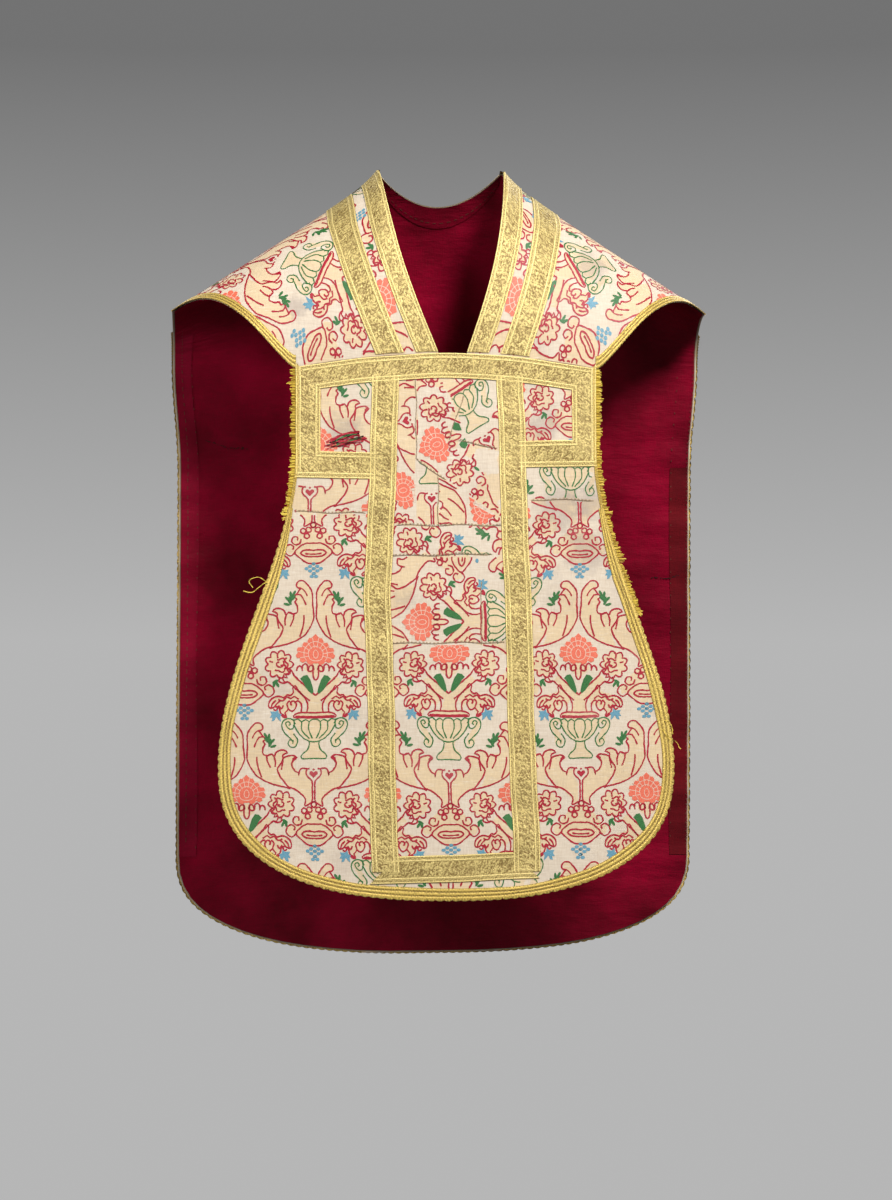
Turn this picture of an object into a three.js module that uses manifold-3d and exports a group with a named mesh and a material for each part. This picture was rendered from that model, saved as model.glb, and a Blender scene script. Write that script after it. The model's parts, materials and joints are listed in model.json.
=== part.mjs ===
// A Roman ("fiddleback") chasuble: a stiff vestment that hangs from the shoulders.
// Cloth layers, from the body outwards: facing, lining, interlining, brocade, metal galloon.
// Millimetres. +X is the wearer's left, -Y the front, +Z up. The origin is in the middle of the
// neck opening, level with the two points of the neck where the vestment rests on the shoulders.

import * as THREE from 'three';
import { mergeVertices } from 'three/addons/utils/BufferGeometryUtils.js';
import Module from 'manifold-3d';

const wasm = await Module();
wasm.setup();

// ---------------------------------------------------------------- driving dimensions

const NECK_HALF_WIDTH = 85;        // neck point to centre, along the shoulder ridge
const NECK_BACK_DEPTH = 63;        // how far the neckline reaches back from the ridge
const NECK_V_HALF_WIDTH = 18;      // blunt bottom of the front V
const NECK_V_SHIFT = 8;            // the V's bottom stands a little towards +X
const NECK_V_BULGE = 10;           // outward curve of the V's edges
const WING_HALF_SPAN = 366;        // centre to the tip of a shoulder
const SHOULDER_DROP = 182;         // straight fall of the ridge from neck to tip
const NECK_RISE = 12;              // extra rise of the cloth close to the neck
const NECK_RISE_REACH = 20;
const FRONT_DEPTH = 128;           // ridge to the front of the chest
const FRONT_WRAP = 30;             // how far the front curves back at the wing tips
const FRONT_FLARE = 38;            // how far the hem stands forward of the chest seam
const BACK_DEPTH = 118;
const BACK_WRAP = 36;
const BACK_FLARE = 50;
const CHEST_SEAM_DROP = 257;       // neck points down to the chest seam, at the centre
const CHEST_SEAM_ARCH = 19;        // the seam falls this much from centre to armhole
const BACK_BEND_DROP = 262;        // level where the hanging back leaves the shoulders
const WING_EDGE_POWER = 1.3;       // how the wing's front edge sweeps out to the tip

const FRONT_WAIST_HALF = 200;      // narrowest half width, at the armholes
const CHEST_SEAM_HALF = FRONT_WAIST_HALF + 2;
const FRONT_WAIST_DROP = 385;
const FRONT_WIDE_HALF = 302;       // widest half width, above the rounded corners
const FRONT_HEM_DROP = 981;
const FRONT_CORNER_RISE = 176;     // hem up to where the corners start to round
const FRONT_WIDE_DROP = FRONT_HEM_DROP - FRONT_CORNER_RISE;
const BACK_TOP_HALF = WING_HALF_SPAN;
const BACK_WAIST_HALF = 358;
const BACK_WAIST_DROP = 400;
const BACK_WIDE_HALF = 361;
const BACK_HEM_DROP = 1086;
const BACK_CORNER_RISE = 141;
const BACK_WIDE_DROP = BACK_HEM_DROP - BACK_CORNER_RISE;
const CORNER_POWER = 2.5;          // squareness of the rounded lower corners

const GALLOON_WIDTH = 36;          // woven metal band
const INNER_NECK_BAND = 28;        // the band along the V, partly turned under
const NECK_STRIP = 15;             // brocade showing between the two neck bands
const BAND_TAPER = 0.8;            // the neck bands are this much narrower at the ridge
const BAND_TAPER_REACH = 80;
const EDGE_GALLOON_WIDTH = 15;
const NECK_EDGING_WIDTH = 10;
const NECK_FACING_WIDTH = 30;
const BACK_FACING_WIDTH = 24;
const FRINGE_LENGTH = 9;
const FRINGE_END_DROP = 462;       // below this the plain edge galloon takes over
const RIGHT_COLUMN_TOP = 81;       // centre lines of the two upright bands of the front
const RIGHT_COLUMN_FOOT = 84;
const LEFT_COLUMN_TOP = 84;
const LEFT_COLUMN_FOOT = 102;
const BACK_COLUMN = 100;
const RIGHT_BOX_DROP = 425;        // lower edge of the short band beside each armhole
const LEFT_BOX_DROP = 408;
const HEM_BAND_RISE = 22;          // hem up to the lower edge of the bottom band
const CENTRE_PATCH_SEAM = 485;     // piecing seams of the centre panel
const CENTRE_LOWER_SEAM = 640;
const BACK_LINING_SEAM = 598;

const FACING_PLY = 0.6;
const LINING_PLY = 0.6;
const INTERLINING_PLY = 1.0;
const BROCADE_PLY = 0.8;
const GALLOON_PLY = 1.2;
const PLY_GAP = 0.4;               // clear space between plies
const SEAM_GAP = 0.5;              // clear space between pieces of one ply
const BEND_GAP = 3.2;              // clear space each side of a line the cloth swings about
const LINING_INSET = 3;
const INTERLINING_INSET = 2;

const COLUMNS_ACROSS = 24;         // facets of the draped plies
const ROWS_OVER_SHOULDER = 6;
const ROWS_DOWN = 6;
const FAR = 600;                   // longer than any cut has to reach

// ---------------------------------------------------------------- plies and colours

const lining = { from: -PLY_GAP - LINING_PLY, to: -PLY_GAP };
const facing = { from: lining.from - PLY_GAP - FACING_PLY, to: lining.from - PLY_GAP };
const interlining = { from: 0, to: INTERLINING_PLY };
const brocade = { from: interlining.to + PLY_GAP, to: interlining.to + PLY_GAP + BROCADE_PLY };
const galloon = { from: brocade.to + PLY_GAP, to: brocade.to + PLY_GAP + GALLOON_PLY };

const finish = {
  brocade: { color: 0xdfd0b8, roughness: 0.62, metalness: 0 },
  crimson: { color: 0x8a0f2c, roughness: 0.5, metalness: 0 },
  linen: { color: 0xb8a888, roughness: 0.9, metalness: 0 },
  gold: { color: 0xb59a4e, roughness: 0.42, metalness: 0.6 },
  yellow: { color: 0xc9a52a, roughness: 0.5, metalness: 0.4 },
  tape: { color: 0x6e1b22, roughness: 0.7, metalness: 0 },
};

// ---------------------------------------------------------------- solids and cuts

function toManifold(geometry) {
  geometry.deleteAttribute('normal');
  geometry.deleteAttribute('uv');
  const merged = mergeVertices(geometry, 1e-4);
  const vertProperties = new Float32Array(merged.attributes.position.array);
  const triVerts = new Uint32Array(merged.index.array);
  return new wasm.Manifold(new wasm.Mesh({ numProp: 3, vertProperties, triVerts }));
}

function toGeometry(manifold) {
  const mesh = manifold.getMesh();
  const positions = new Float32Array(mesh.numVert * 3);
  for (let i = 0; i < mesh.numVert; i += 1) {
    for (let k = 0; k < 3; k += 1) {
      positions[3 * i + k] = mesh.vertProperties[mesh.numProp * i + k];
    }
  }
  const geometry = new THREE.BufferGeometry();
  geometry.setAttribute('position', new THREE.BufferAttribute(positions, 3));
  geometry.setIndex(new THREE.BufferAttribute(new Uint32Array(mesh.triVerts), 1));
  geometry.computeVertexNormals();
  return geometry;
}

// A ply: a thin box bent so that its middle follows surface(u, v) and its faces lie at the
// ply's two distances outwards from it. u runs across the cloth, v from its top (0) down (1).
function drapedPly(surface, ply, rows) {
  const box = new THREE.BoxGeometry(1, 1, 1, COLUMNS_ACROSS, rows, 1);
  const position = box.attributes.position;
  for (let i = 0; i < position.count; i += 1) {
    const u = position.getX(i) * 2;
    const v = 0.5 - position.getY(i);
    const offset = position.getZ(i) > 0 ? ply.to : ply.from;
    const point = surface(u, v).addScaledVector(outward(surface, u, v), offset);
    position.setXYZ(i, point.x, point.y, point.z);
  }
  matchDiagonals(box);
  return toManifold(box);
}

// Splits the rear face's quads along the same diagonals as the front face's, so that bent
// plies lie parallel facet by facet.
function matchDiagonals(box) {
  const index = box.index.array;
  const rear = box.groups[5];
  for (let i = rear.start; i < rear.start + rear.count; i += 6) {
    const [a, b, d, , c] = index.slice(i, i + 5);
    index.set([a, b, c, a, c, d], i);
  }
}

function outward(surface, u, v) {
  const step = 0.01;
  const here = surface(u, v);
  const across = surface(u + step, v).sub(here);
  const down = surface(u, v + step).sub(here);
  return down.cross(across).normalize();
}

// A cutter: an outline in the X-Z plane carried through the front half (side -1) or back (+1).
function cutter(outline, side) {
  const shape = new THREE.Shape(outline.map(([x, z]) => new THREE.Vector2(x, z)));
  const geometry = new THREE.ExtrudeGeometry(shape, { depth: FAR, bevelEnabled: false });
  geometry.rotateX(Math.PI / 2);
  geometry.translate(0, side < 0 ? -SEAM_GAP / 2 : FAR + SEAM_GAP / 2, 0);
  return toManifold(geometry);
}

// The neck hole seen from above: half an ellipse behind the ridge, `grow` wider all round.
function neckCutter(grow) {
  const shape = new THREE.Shape();
  shape.absellipse(0, 0, NECK_HALF_WIDTH + grow, NECK_BACK_DEPTH + grow, 0, 2 * Math.PI);
  const geometry = new THREE.ExtrudeGeometry(
    shape, { depth: FAR, bevelEnabled: false, curveSegments: 14 });
  geometry.translate(0, 0, -FAR / 2);
  return toManifold(geometry);
}

// ---------------------------------------------------------------- the draped shape

function ridgeHeight(x) {
  const beyond = Math.max(0, Math.abs(x) - NECK_HALF_WIDTH);
  const slope = SHOULDER_DROP / (WING_HALF_SPAN - NECK_HALF_WIDTH);
  return -slope * beyond - NECK_RISE * (1 - Math.exp(-beyond / NECK_RISE_REACH));
}

function chestSeam(x) {
  const share = Math.min(1, Math.abs(x) / CHEST_SEAM_HALF);
  return -CHEST_SEAM_DROP - CHEST_SEAM_ARCH * share * share;
}

function frontDepth(x) {
  return FRONT_DEPTH - FRONT_WRAP * (x / WING_HALF_SPAN) ** 2;
}

function backDepth(x) {
  return BACK_DEPTH - BACK_WRAP * (x / WING_HALF_SPAN) ** 2;
}

// Angle round the shoulder, from the ridge, at which the front yoke ends.
function frontYokeEnd(x) {
  const toSeam = Math.acos(BEND_GAP / (ridgeHeight(x) - chestSeam(x)));
  const beyond = Math.max(0, Math.abs(x) - CHEST_SEAM_HALF);
  const share = Math.min(1, beyond / (WING_HALF_SPAN - CHEST_SEAM_HALF));
  return Math.min(toSeam, Math.PI / 2 * (1 - share ** WING_EDGE_POWER));
}

function frontYoke(u, v) {
  const x = u * WING_HALF_SPAN;
  const least = 0.02;
  const angle = Math.max(least, frontYokeEnd(x)) * v;
  const drop = ridgeHeight(x) - chestSeam(x);
  const z = ridgeHeight(x) - drop * (1 - Math.cos(angle));
  return new THREE.Vector3(x, -frontDepth(x) * Math.sin(angle), z);
}

function backYoke(u, v) {
  const x = -u * WING_HALF_SPAN;
  const drop = ridgeHeight(x) + BACK_BEND_DROP;
  const angle = Math.acos(BEND_GAP / drop) * v;
  const z = ridgeHeight(x) - drop * (1 - Math.cos(angle));
  return new THREE.Vector3(x, backDepth(x) * Math.sin(angle), z);
}

function frontPanel(u, v) {
  const x = u * (FRONT_WIDE_HALF + 2 * FRINGE_LENGTH);
  const top = -CHEST_SEAM_DROP + 2 * BEND_GAP;
  const z = top + (-FRONT_HEM_DROP - FRINGE_LENGTH - top) * v;
  const fall = (-CHEST_SEAM_DROP - z) / (FRONT_HEM_DROP - CHEST_SEAM_DROP);
  return new THREE.Vector3(x, -frontDepth(x) - FRONT_FLARE * fall, z);
}

function backPanel(u, v) {
  const x = -u * (Math.max(BACK_TOP_HALF, BACK_WIDE_HALF) + FRINGE_LENGTH);
  const top = -BACK_BEND_DROP + 2 * BEND_GAP;
  const z = top + (-BACK_HEM_DROP - FRINGE_LENGTH - top) * v;
  const fall = (-BACK_BEND_DROP - z) / (BACK_HEM_DROP - BACK_BEND_DROP);
  return new THREE.Vector3(x, backDepth(x) + BACK_FLARE * fall, z);
}

// ---------------------------------------------------------------- outlines in the X-Z plane

function smooth(t) {
  const c = Math.min(1, Math.max(0, t));
  return c * c * (3 - 2 * c);
}

function frontHalfWidth(drop) {
  const share = (drop - FRONT_WAIST_DROP) / (FRONT_WIDE_DROP - FRONT_WAIST_DROP);
  return FRONT_WAIST_HALF + (FRONT_WIDE_HALF - FRONT_WAIST_HALF) * smooth(share);
}

function backHalfWidth(drop) {
  const upper = smooth((drop - BACK_BEND_DROP) / (BACK_WAIST_DROP - BACK_BEND_DROP));
  const lower = smooth((drop - BACK_WAIST_DROP) / (BACK_WIDE_DROP - BACK_WAIST_DROP));
  const waist = BACK_TOP_HALF + (BACK_WAIST_HALF - BACK_TOP_HALF) * upper;
  return waist + (BACK_WIDE_HALF - BACK_WAIST_HALF) * lower;
}

// Right-hand side of a panel from its top to the middle of its hem, `inset` inside the edge.
function panelSide(halfWidth, topDrop, wideDrop, hemDrop, inset) {
  const side = [];
  const sideSteps = 7;
  for (let i = 0; i <= sideSteps; i += 1) {
    const drop = topDrop + (wideDrop - topDrop) * i / sideSteps;
    side.push([halfWidth(drop) - inset, -drop]);
  }
  const cornerSteps = 9;
  const wide = halfWidth(wideDrop) - inset;
  const deep = hemDrop - wideDrop - inset;
  for (let i = 1; i <= cornerSteps; i += 1) {
    const angle = Math.PI / 2 * i / cornerSteps;
    const x = wide * Math.cos(angle) ** (2 / CORNER_POWER);
    const z = -wideDrop - deep * Math.sin(angle) ** (2 / CORNER_POWER);
    side.push([i === cornerSteps ? 0 : x, z]);
  }
  return side;
}

function mirrored(side) {
  const other = side.slice(0, -1).reverse().map(([x, z]) => [-x, z]);
  return [...side, ...other];
}

function topEdge(height, from, to) {
  const steps = 8;
  const edge = [];
  for (let i = 0; i <= steps; i += 1) {
    const x = from + (to - from) * i / steps;
    edge.push([x, height(x)]);
  }
  return edge;
}

function frontOutline(inset) {
  const top = (x) => chestSeam(x) - BEND_GAP;
  const topDrop = -top(CHEST_SEAM_HALF) + 1;
  const side = panelSide(frontHalfWidth, topDrop, FRONT_WIDE_DROP, FRONT_HEM_DROP, inset);
  const half = frontHalfWidth(topDrop) - inset;
  const edge = topEdge(top, -half, half);
  return [...edge, ...mirrored(side)];
}

function backOutline(inset) {
  const topDrop = BACK_BEND_DROP + BEND_GAP;
  return mirrored(panelSide(backHalfWidth, topDrop, BACK_WIDE_DROP, BACK_HEM_DROP, inset));
}

function rectangle(x0, x1, z0, z1) {
  return [[x0, z0], [x1, z0], [x1, z1], [x0, z1]];
}

// Edge of the V neck at height z: hand is -1 for the wearer's right, +1 for the left.
function neckEdge(z, hand) {
  const t = Math.min(1, Math.max(0, -z / CHEST_SEAM_DROP));
  const half = NECK_HALF_WIDTH + (NECK_V_HALF_WIDTH - NECK_HALF_WIDTH) * t;
  return hand * (half + NECK_V_BULGE * Math.sin(Math.PI * t)) + NECK_V_SHIFT * t;
}

// Line parallel to the V edge, `away` outwards from it, narrowing towards the ridge.
function bandLine(z, away, hand) {
  const taper = BAND_TAPER + (1 - BAND_TAPER) * Math.min(1, Math.max(0, -z / BAND_TAPER_REACH));
  return neckEdge(z, hand) + hand * away * taper;
}

// Strip between two such lines; an undefined outer line runs out past the wing.
function neckStrip(inner, outer, hand) {
  const steps = 8;
  const heights = [];
  for (let i = 0; i <= steps; i += 1) {
    heights.push(-CHEST_SEAM_DROP * 1.2 * i / steps);
  }
  const line = heights.map((z) => [bandLine(z, inner, hand), z]);
  line.unshift([line[0][0], FAR / 2]);
  if (outer === undefined) {
    return [...line, [hand * FAR, -CHEST_SEAM_DROP * 1.2], [hand * FAR, FAR / 2]];
  }
  const back = heights.map((z) => [bandLine(z, outer, hand), z]);
  back.unshift([back[0][0], FAR / 2]);
  return [...line, ...back.reverse()];
}

// ---------------------------------------------------------------- assembling

const chasuble = new THREE.Group();

function addPiece(name, manifold, look) {
  const mesh = new THREE.Mesh(toGeometry(manifold), new THREE.MeshStandardMaterial(look));
  mesh.name = name;
  chasuble.add(mesh);
}

function piece(name, ply, look, ...cuts) {
  const solid = cuts.reduce((rest, cut) => rest.intersect(cut), ply);
  addPiece(name, solid, look);
}

const hands = [['right', -1], ['left', 1]];

// Band lines at the neck, counted outwards from the V edge.
const stripStart = INNER_NECK_BAND;
const outerBandStart = stripStart + NECK_STRIP;
const outerBandMiddle = outerBandStart + GALLOON_WIDTH / 2;
const outerBandEnd = outerBandStart + GALLOON_WIDTH;

// Band along the front edge of a wing, from the chest seam's end out to the tip.
function wingEdgeBand(hand) {
  const steps = 8;
  const lower = [];
  const upper = [];
  const start = CHEST_SEAM_HALF - EDGE_GALLOON_WIDTH / 2;
  for (let i = 0; i <= steps; i += 1) {
    const x = start + (WING_HALF_SPAN - start) * i / steps;
    const z = frontYoke(x / WING_HALF_SPAN, 1).z;
    lower.push([hand * x, z - EDGE_GALLOON_WIDTH]);
    upper.push([hand * x, z + EDGE_GALLOON_WIDTH]);
  }
  const tip = [[hand * FAR, lower[steps][1]], [hand * FAR, upper[steps][1]]];
  return [...lower, ...tip, ...upper.reverse()];
}

function buildFrontYoke() {
  const ply = {};
  for (const [key, layer] of Object.entries({ lining, interlining, brocade, galloon })) {
    ply[key] = drapedPly(frontYoke, layer, ROWS_OVER_SHOULDER);
  }
  for (const [name, hand] of hands) {
    const strip = (inner, outer) => cutter(neckStrip(inner, outer, hand), -1);
    const whole = strip(0, undefined);
    piece(`${name}_shoulder_lining`, ply.lining, finish.crimson, whole);
    piece(`${name}_shoulder_interlining`, ply.interlining, finish.linen, whole);
    piece(`${name}_neck_brocade`, ply.brocade, finish.brocade, strip(0, outerBandMiddle));
    piece(`${name}_shoulder_brocade`, ply.brocade, finish.brocade,
      strip(outerBandMiddle + SEAM_GAP, undefined));
    piece(`${name}_inner_neck_galloon`, ply.galloon, finish.gold, strip(0, stripStart));
    piece(`${name}_outer_neck_galloon`, ply.galloon, finish.gold,
      strip(outerBandStart, outerBandEnd));
    piece(`${name}_wing_edge_galloon`, ply.galloon, finish.yellow,
      cutter(wingEdgeBand(hand), -1));
  }
}

function buildBackYoke() {
  const everything = rectangle(-FAR, FAR, -FAR, FAR);
  const behind = cutter(everything, 1);
  const neck = neckCutter(0);
  const shoulderPly = (layer) => {
    return drapedPly(backYoke, layer, ROWS_OVER_SHOULDER).intersect(behind).subtract(neck);
  };
  addPiece('back_yoke_lining', shoulderPly(lining), finish.crimson);
  addPiece('back_yoke_interlining', shoulderPly(interlining), finish.linen);
  addPiece('back_yoke_brocade', shoulderPly(brocade), finish.brocade);
  const trim = shoulderPly(galloon);
  addPiece('back_neck_edging', trim.intersect(neckCutter(NECK_EDGING_WIDTH)), finish.yellow);
  addPiece('neck_facing', shoulderPly(facing).intersect(neckCutter(NECK_FACING_WIDTH)),
    finish.tape);
  const clearOfNeck = trim.subtract(neckCutter(NECK_EDGING_WIDTH + SEAM_GAP));
  for (const [name, hand] of hands) {
    const column = columnOutline(hand * BACK_COLUMN, hand * BACK_COLUMN, FAR, -FAR);
    piece(`back_${name}_column_top`, clearOfNeck, finish.gold, cutter(column, 1));
  }
}

// An upright band given by its centre line at the top and at the foot.
function columnOutline(topX, footX, topZ, footZ) {
  const half = GALLOON_WIDTH / 2;
  return [[topX - half, topZ], [footX - half, footZ], [footX + half, footZ], [topX + half, topZ]];
}

const column = {
  right: { top: -RIGHT_COLUMN_TOP, foot: -RIGHT_COLUMN_FOOT, boxDrop: RIGHT_BOX_DROP },
  left: { top: LEFT_COLUMN_TOP, foot: LEFT_COLUMN_FOOT, boxDrop: LEFT_BOX_DROP },
};
const hemBandTop = -FRONT_HEM_DROP + HEM_BAND_RISE + GALLOON_WIDTH;
const hemBandFoot = -FRONT_HEM_DROP + HEM_BAND_RISE;

// Centre line of a front column at height z.
function columnCentre(hand, z) {
  const line = column[hand];
  const share = (-CHEST_SEAM_DROP - z) / (-CHEST_SEAM_DROP - hemBandFoot);
  return line.top + (line.foot - line.top) * share;
}

function chestBandFoot(x) {
  return chestSeam(x) - BEND_GAP - GALLOON_WIDTH;
}

// Everything on one side of a 45 degree line through [x, z]: the side that [sideX, sideZ] points to.
function mitreSide(x, z, sideX, sideZ) {
  const shift = SEAM_GAP / 2;
  const start = [x + sideX * shift, z + sideZ * shift];
  const reach = FAR;
  return [
    [start[0] - sideZ * reach, start[1] + sideX * reach],
    [start[0] + sideZ * reach, start[1] - sideX * reach],
    [start[0] + (sideX + sideZ) * reach, start[1] + (sideZ - sideX) * reach],
    [start[0] + (sideX - sideZ) * reach, start[1] + (sideZ + sideX) * reach]];
}

function buildFrontBrocade(ply) {
  const edge = cutter(frontOutline(SEAM_GAP), -1);
  const x0 = (hand, z) => columnCentre(hand, z);
  const rightLine = [[x0('right', 0), 0], [x0('right', -FAR * 2), -FAR * 2]];
  const leftLine = [[x0('left', 0), 0], [x0('left', -FAR * 2), -FAR * 2]];
  const between = (top, foot) => [
    [x0('right', top) + SEAM_GAP, top], [x0('right', foot) + SEAM_GAP, foot],
    [x0('left', foot) - SEAM_GAP, foot], [x0('left', top) - SEAM_GAP, top]];
  const outside = (line, hand, top, foot) => {
    const at = (z) => line[0][0] + (line[1][0] - line[0][0]) * z / line[1][1];
    return [[at(top), top], [at(foot), foot], [hand * FAR, foot], [hand * FAR, top]];
  };
  const upper = -CENTRE_PATCH_SEAM;
  const lower = -CENTRE_LOWER_SEAM;
  piece('centre_upper_patch', ply, finish.brocade, edge, cutter(between(0, upper), -1));
  piece('centre_middle_patch', ply, finish.brocade, edge,
    cutter(between(upper - SEAM_GAP, lower), -1));
  piece('centre_lower_brocade', ply, finish.brocade, edge,
    cutter(between(lower - SEAM_GAP, -2 * FAR), -1));
  for (const [name, hand] of hands) {
    const line = name === 'right' ? rightLine : leftLine;
    const boxMiddle = -column[name].boxDrop + GALLOON_WIDTH / 2;
    piece(`${name}_box_brocade`, ply, finish.brocade, edge,
      cutter(outside(line, hand, 0, boxMiddle), -1));
    piece(`${name}_side_brocade`, ply, finish.brocade, edge,
      cutter(outside(line, hand, boxMiddle - SEAM_GAP, -2 * FAR), -1));
  }
}

function buildFrontBands(ply) {
  const edge = cutter(frontOutline(0), -1);
  const inner = cutter(frontOutline(EDGE_GALLOON_WIDTH + SEAM_GAP), -1);
  const low = rectangle(-FAR, FAR, -FRINGE_END_DROP, -2 * FAR);
  piece('front_edge_galloon', ply.subtract(cutter(frontOutline(EDGE_GALLOON_WIDTH), -1)),
    finish.yellow, edge, cutter(low, -1));
  const high = cutter(rectangle(-FAR, FAR, 0, -FRINGE_END_DROP + SEAM_GAP), -1);
  const body = ply.intersect(edge).intersect(high).add(ply.intersect(inner));

  // The chest band runs across the top, mitred into the two short bands beside the armholes.
  const chestHalf = FRONT_WAIST_HALF;
  const top = topEdge((x) => chestSeam(x) - BEND_GAP + SEAM_GAP, -FAR / 2, FAR / 2);
  const foot = topEdge(chestBandFoot, FAR / 2, -FAR / 2);
  const cornerZ = chestSeam(chestHalf) - BEND_GAP;
  const chest = cutter([...top, ...foot], -1);
  piece('chest_galloon', body, finish.gold, chest,
    cutter(mitreSide(-chestHalf, cornerZ, 1, 1), -1),
    cutter(mitreSide(chestHalf, cornerZ, -1, 1), -1));

  const under = (inset) => cutter([
    ...topEdge((x) => chestBandFoot(x) - inset, -FAR / 2, FAR / 2),
    [FAR / 2, -2 * FAR], [-FAR / 2, -2 * FAR]], -1);
  const hemCut = cutter(rectangle(-FAR, FAR, 0, hemBandTop + SEAM_GAP), -1);
  const trimmed = body.intersect(under(SEAM_GAP));
  for (const [name, hand] of hands) {
    const outline = columnOutline(columnCentre(name, 0), columnCentre(name, -2 * FAR), 0, -2 * FAR);
    piece(`${name}_column_galloon`, trimmed, finish.gold, cutter(outline, -1), hemCut);
    buildBox(name, hand, body, outline);
  }
  const hemSpan = [
    [columnCentre('right', hemBandTop) - GALLOON_WIDTH / 2, hemBandTop],
    [columnCentre('left', hemBandTop) + GALLOON_WIDTH / 2, hemBandTop],
    [columnCentre('left', hemBandTop) + GALLOON_WIDTH / 2, hemBandFoot],
    [columnCentre('right', hemBandTop) - GALLOON_WIDTH / 2, hemBandFoot]];
  piece('hem_galloon', body, finish.gold, cutter(hemSpan, -1));
}

// The side and lower bands of the box beside one armhole.
function buildBox(name, hand, body, columnShape) {
  const outer = FRONT_WAIST_HALF;
  const foot = -column[name].boxDrop;
  const topZ = chestSeam(outer) - BEND_GAP;
  const side = rectangle(hand * (outer - GALLOON_WIDTH), hand * FAR, 0, -2 * FAR);
  piece(`${name}_box_side_galloon`, body, finish.gold, cutter(side, -1),
    cutter(mitreSide(hand * outer, topZ, hand, -1), -1),
    cutter(mitreSide(hand * outer, foot, hand, 1), -1));
  const low = rectangle(hand * columnOuter(name, foot), hand * FAR, foot, foot + GALLOON_WIDTH);
  piece(`${name}_box_lower_galloon`, body.subtract(cutter(columnShape, -1)), finish.gold,
    cutter(low, -1), cutter(mitreSide(hand * outer, foot, -hand, -1), -1));
}

// Distance from the centre to the outer edge of a front column, with its seam, at height z.
function columnOuter(name, z) {
  return Math.abs(columnCentre(name, z)) + GALLOON_WIDTH / 2 + SEAM_GAP;
}

function buildFrontPanel() {
  const down = (layer) => drapedPly(frontPanel, layer, ROWS_DOWN);
  piece('front_lining', down(lining), finish.crimson, cutter(frontOutline(LINING_INSET), -1));
  piece('front_interlining', down(interlining), finish.linen,
    cutter(frontOutline(INTERLINING_INSET), -1));
  buildFrontBrocade(down(brocade));
  buildFrontBands(down(galloon));
  const beyond = down(galloon).subtract(cutter(frontOutline(-SEAM_GAP), -1));
  for (const [name, hand] of hands) {
    const side = rectangle(0, hand * FAR, chestSeam(FAR) - 2 * BEND_GAP, -FRINGE_END_DROP);
    piece(`${name}_armhole_fringe`, beyond, finish.yellow, cutter(side, -1),
      cutter(frontOutline(-FRINGE_LENGTH), -1));
  }
}

function buildBackPanel() {
  const down = (layer) => drapedPly(backPanel, layer, ROWS_DOWN);
  const whole = (inset) => cutter(backOutline(inset), 1);
  const seam = -BACK_LINING_SEAM;
  piece('back_upper_lining', down(lining), finish.crimson, whole(LINING_INSET),
    cutter(rectangle(-FAR, FAR, 0, seam), 1));
  piece('back_lower_lining', down(lining), finish.crimson, whole(LINING_INSET),
    cutter(rectangle(-FAR, FAR, seam - SEAM_GAP, -2 * FAR), 1));
  piece('back_interlining', down(interlining), finish.linen, whole(INTERLINING_INSET));

  const cloth = down(brocade).intersect(whole(SEAM_GAP));
  const middle = rectangle(-BACK_COLUMN + SEAM_GAP, BACK_COLUMN - SEAM_GAP, 0, -2 * FAR);
  piece('back_centre_brocade', cloth, finish.brocade, cutter(middle, 1));
  const inner = down(galloon).intersect(whole(EDGE_GALLOON_WIDTH + SEAM_GAP));
  const bandFoot = -BACK_HEM_DROP + HEM_BAND_RISE;
  const bandTop = bandFoot + GALLOON_WIDTH;
  const reach = BACK_COLUMN + GALLOON_WIDTH / 2;
  piece('back_hem_galloon', inner, finish.gold,
    cutter(rectangle(-reach, reach, bandTop, bandFoot), 1));
  piece('back_edge_galloon', down(galloon).subtract(whole(EDGE_GALLOON_WIDTH)), finish.yellow,
    whole(0));
  for (const [name, hand] of hands) {
    piece(`back_${name}_brocade`, cloth, finish.brocade,
      cutter(rectangle(hand * BACK_COLUMN, hand * FAR, 0, -2 * FAR), 1));
    const centre = hand * BACK_COLUMN;
    piece(`back_${name}_column_galloon`, inner, finish.gold,
      cutter(columnOutline(centre, centre, 0, bandTop + SEAM_GAP), 1));
    const strip = down(facing).subtract(whole(LINING_INSET + BACK_FACING_WIDTH));
    piece(`back_${name}_facing`, strip, finish.tape, whole(LINING_INSET),
      cutter(rectangle(0, hand * FAR, 0, -BACK_WIDE_DROP), 1));
  }
}

buildFrontYoke();
buildBackYoke();
buildFrontPanel();
buildBackPanel();

export default chasuble;
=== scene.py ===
# %% [markdown]
# # A Roman chasuble in brocade
# A chasuble is the stiff outer vestment of a priest. This "fiddleback" cut is a front and a back
# panel joined over the shoulders. It is built ply by ply, as a vestment maker would: crimson
# lining inside, linen between, patterned brocade outside, and woven metal bands sewn on top.
# The measured model is loaded first and stays fixed; every piece here is laid on its shape.

# %% Load the fixed frame
import bmesh
import bpy
import json
import math
import random
import numpy as np
from mathutils import Matrix, Vector

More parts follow.
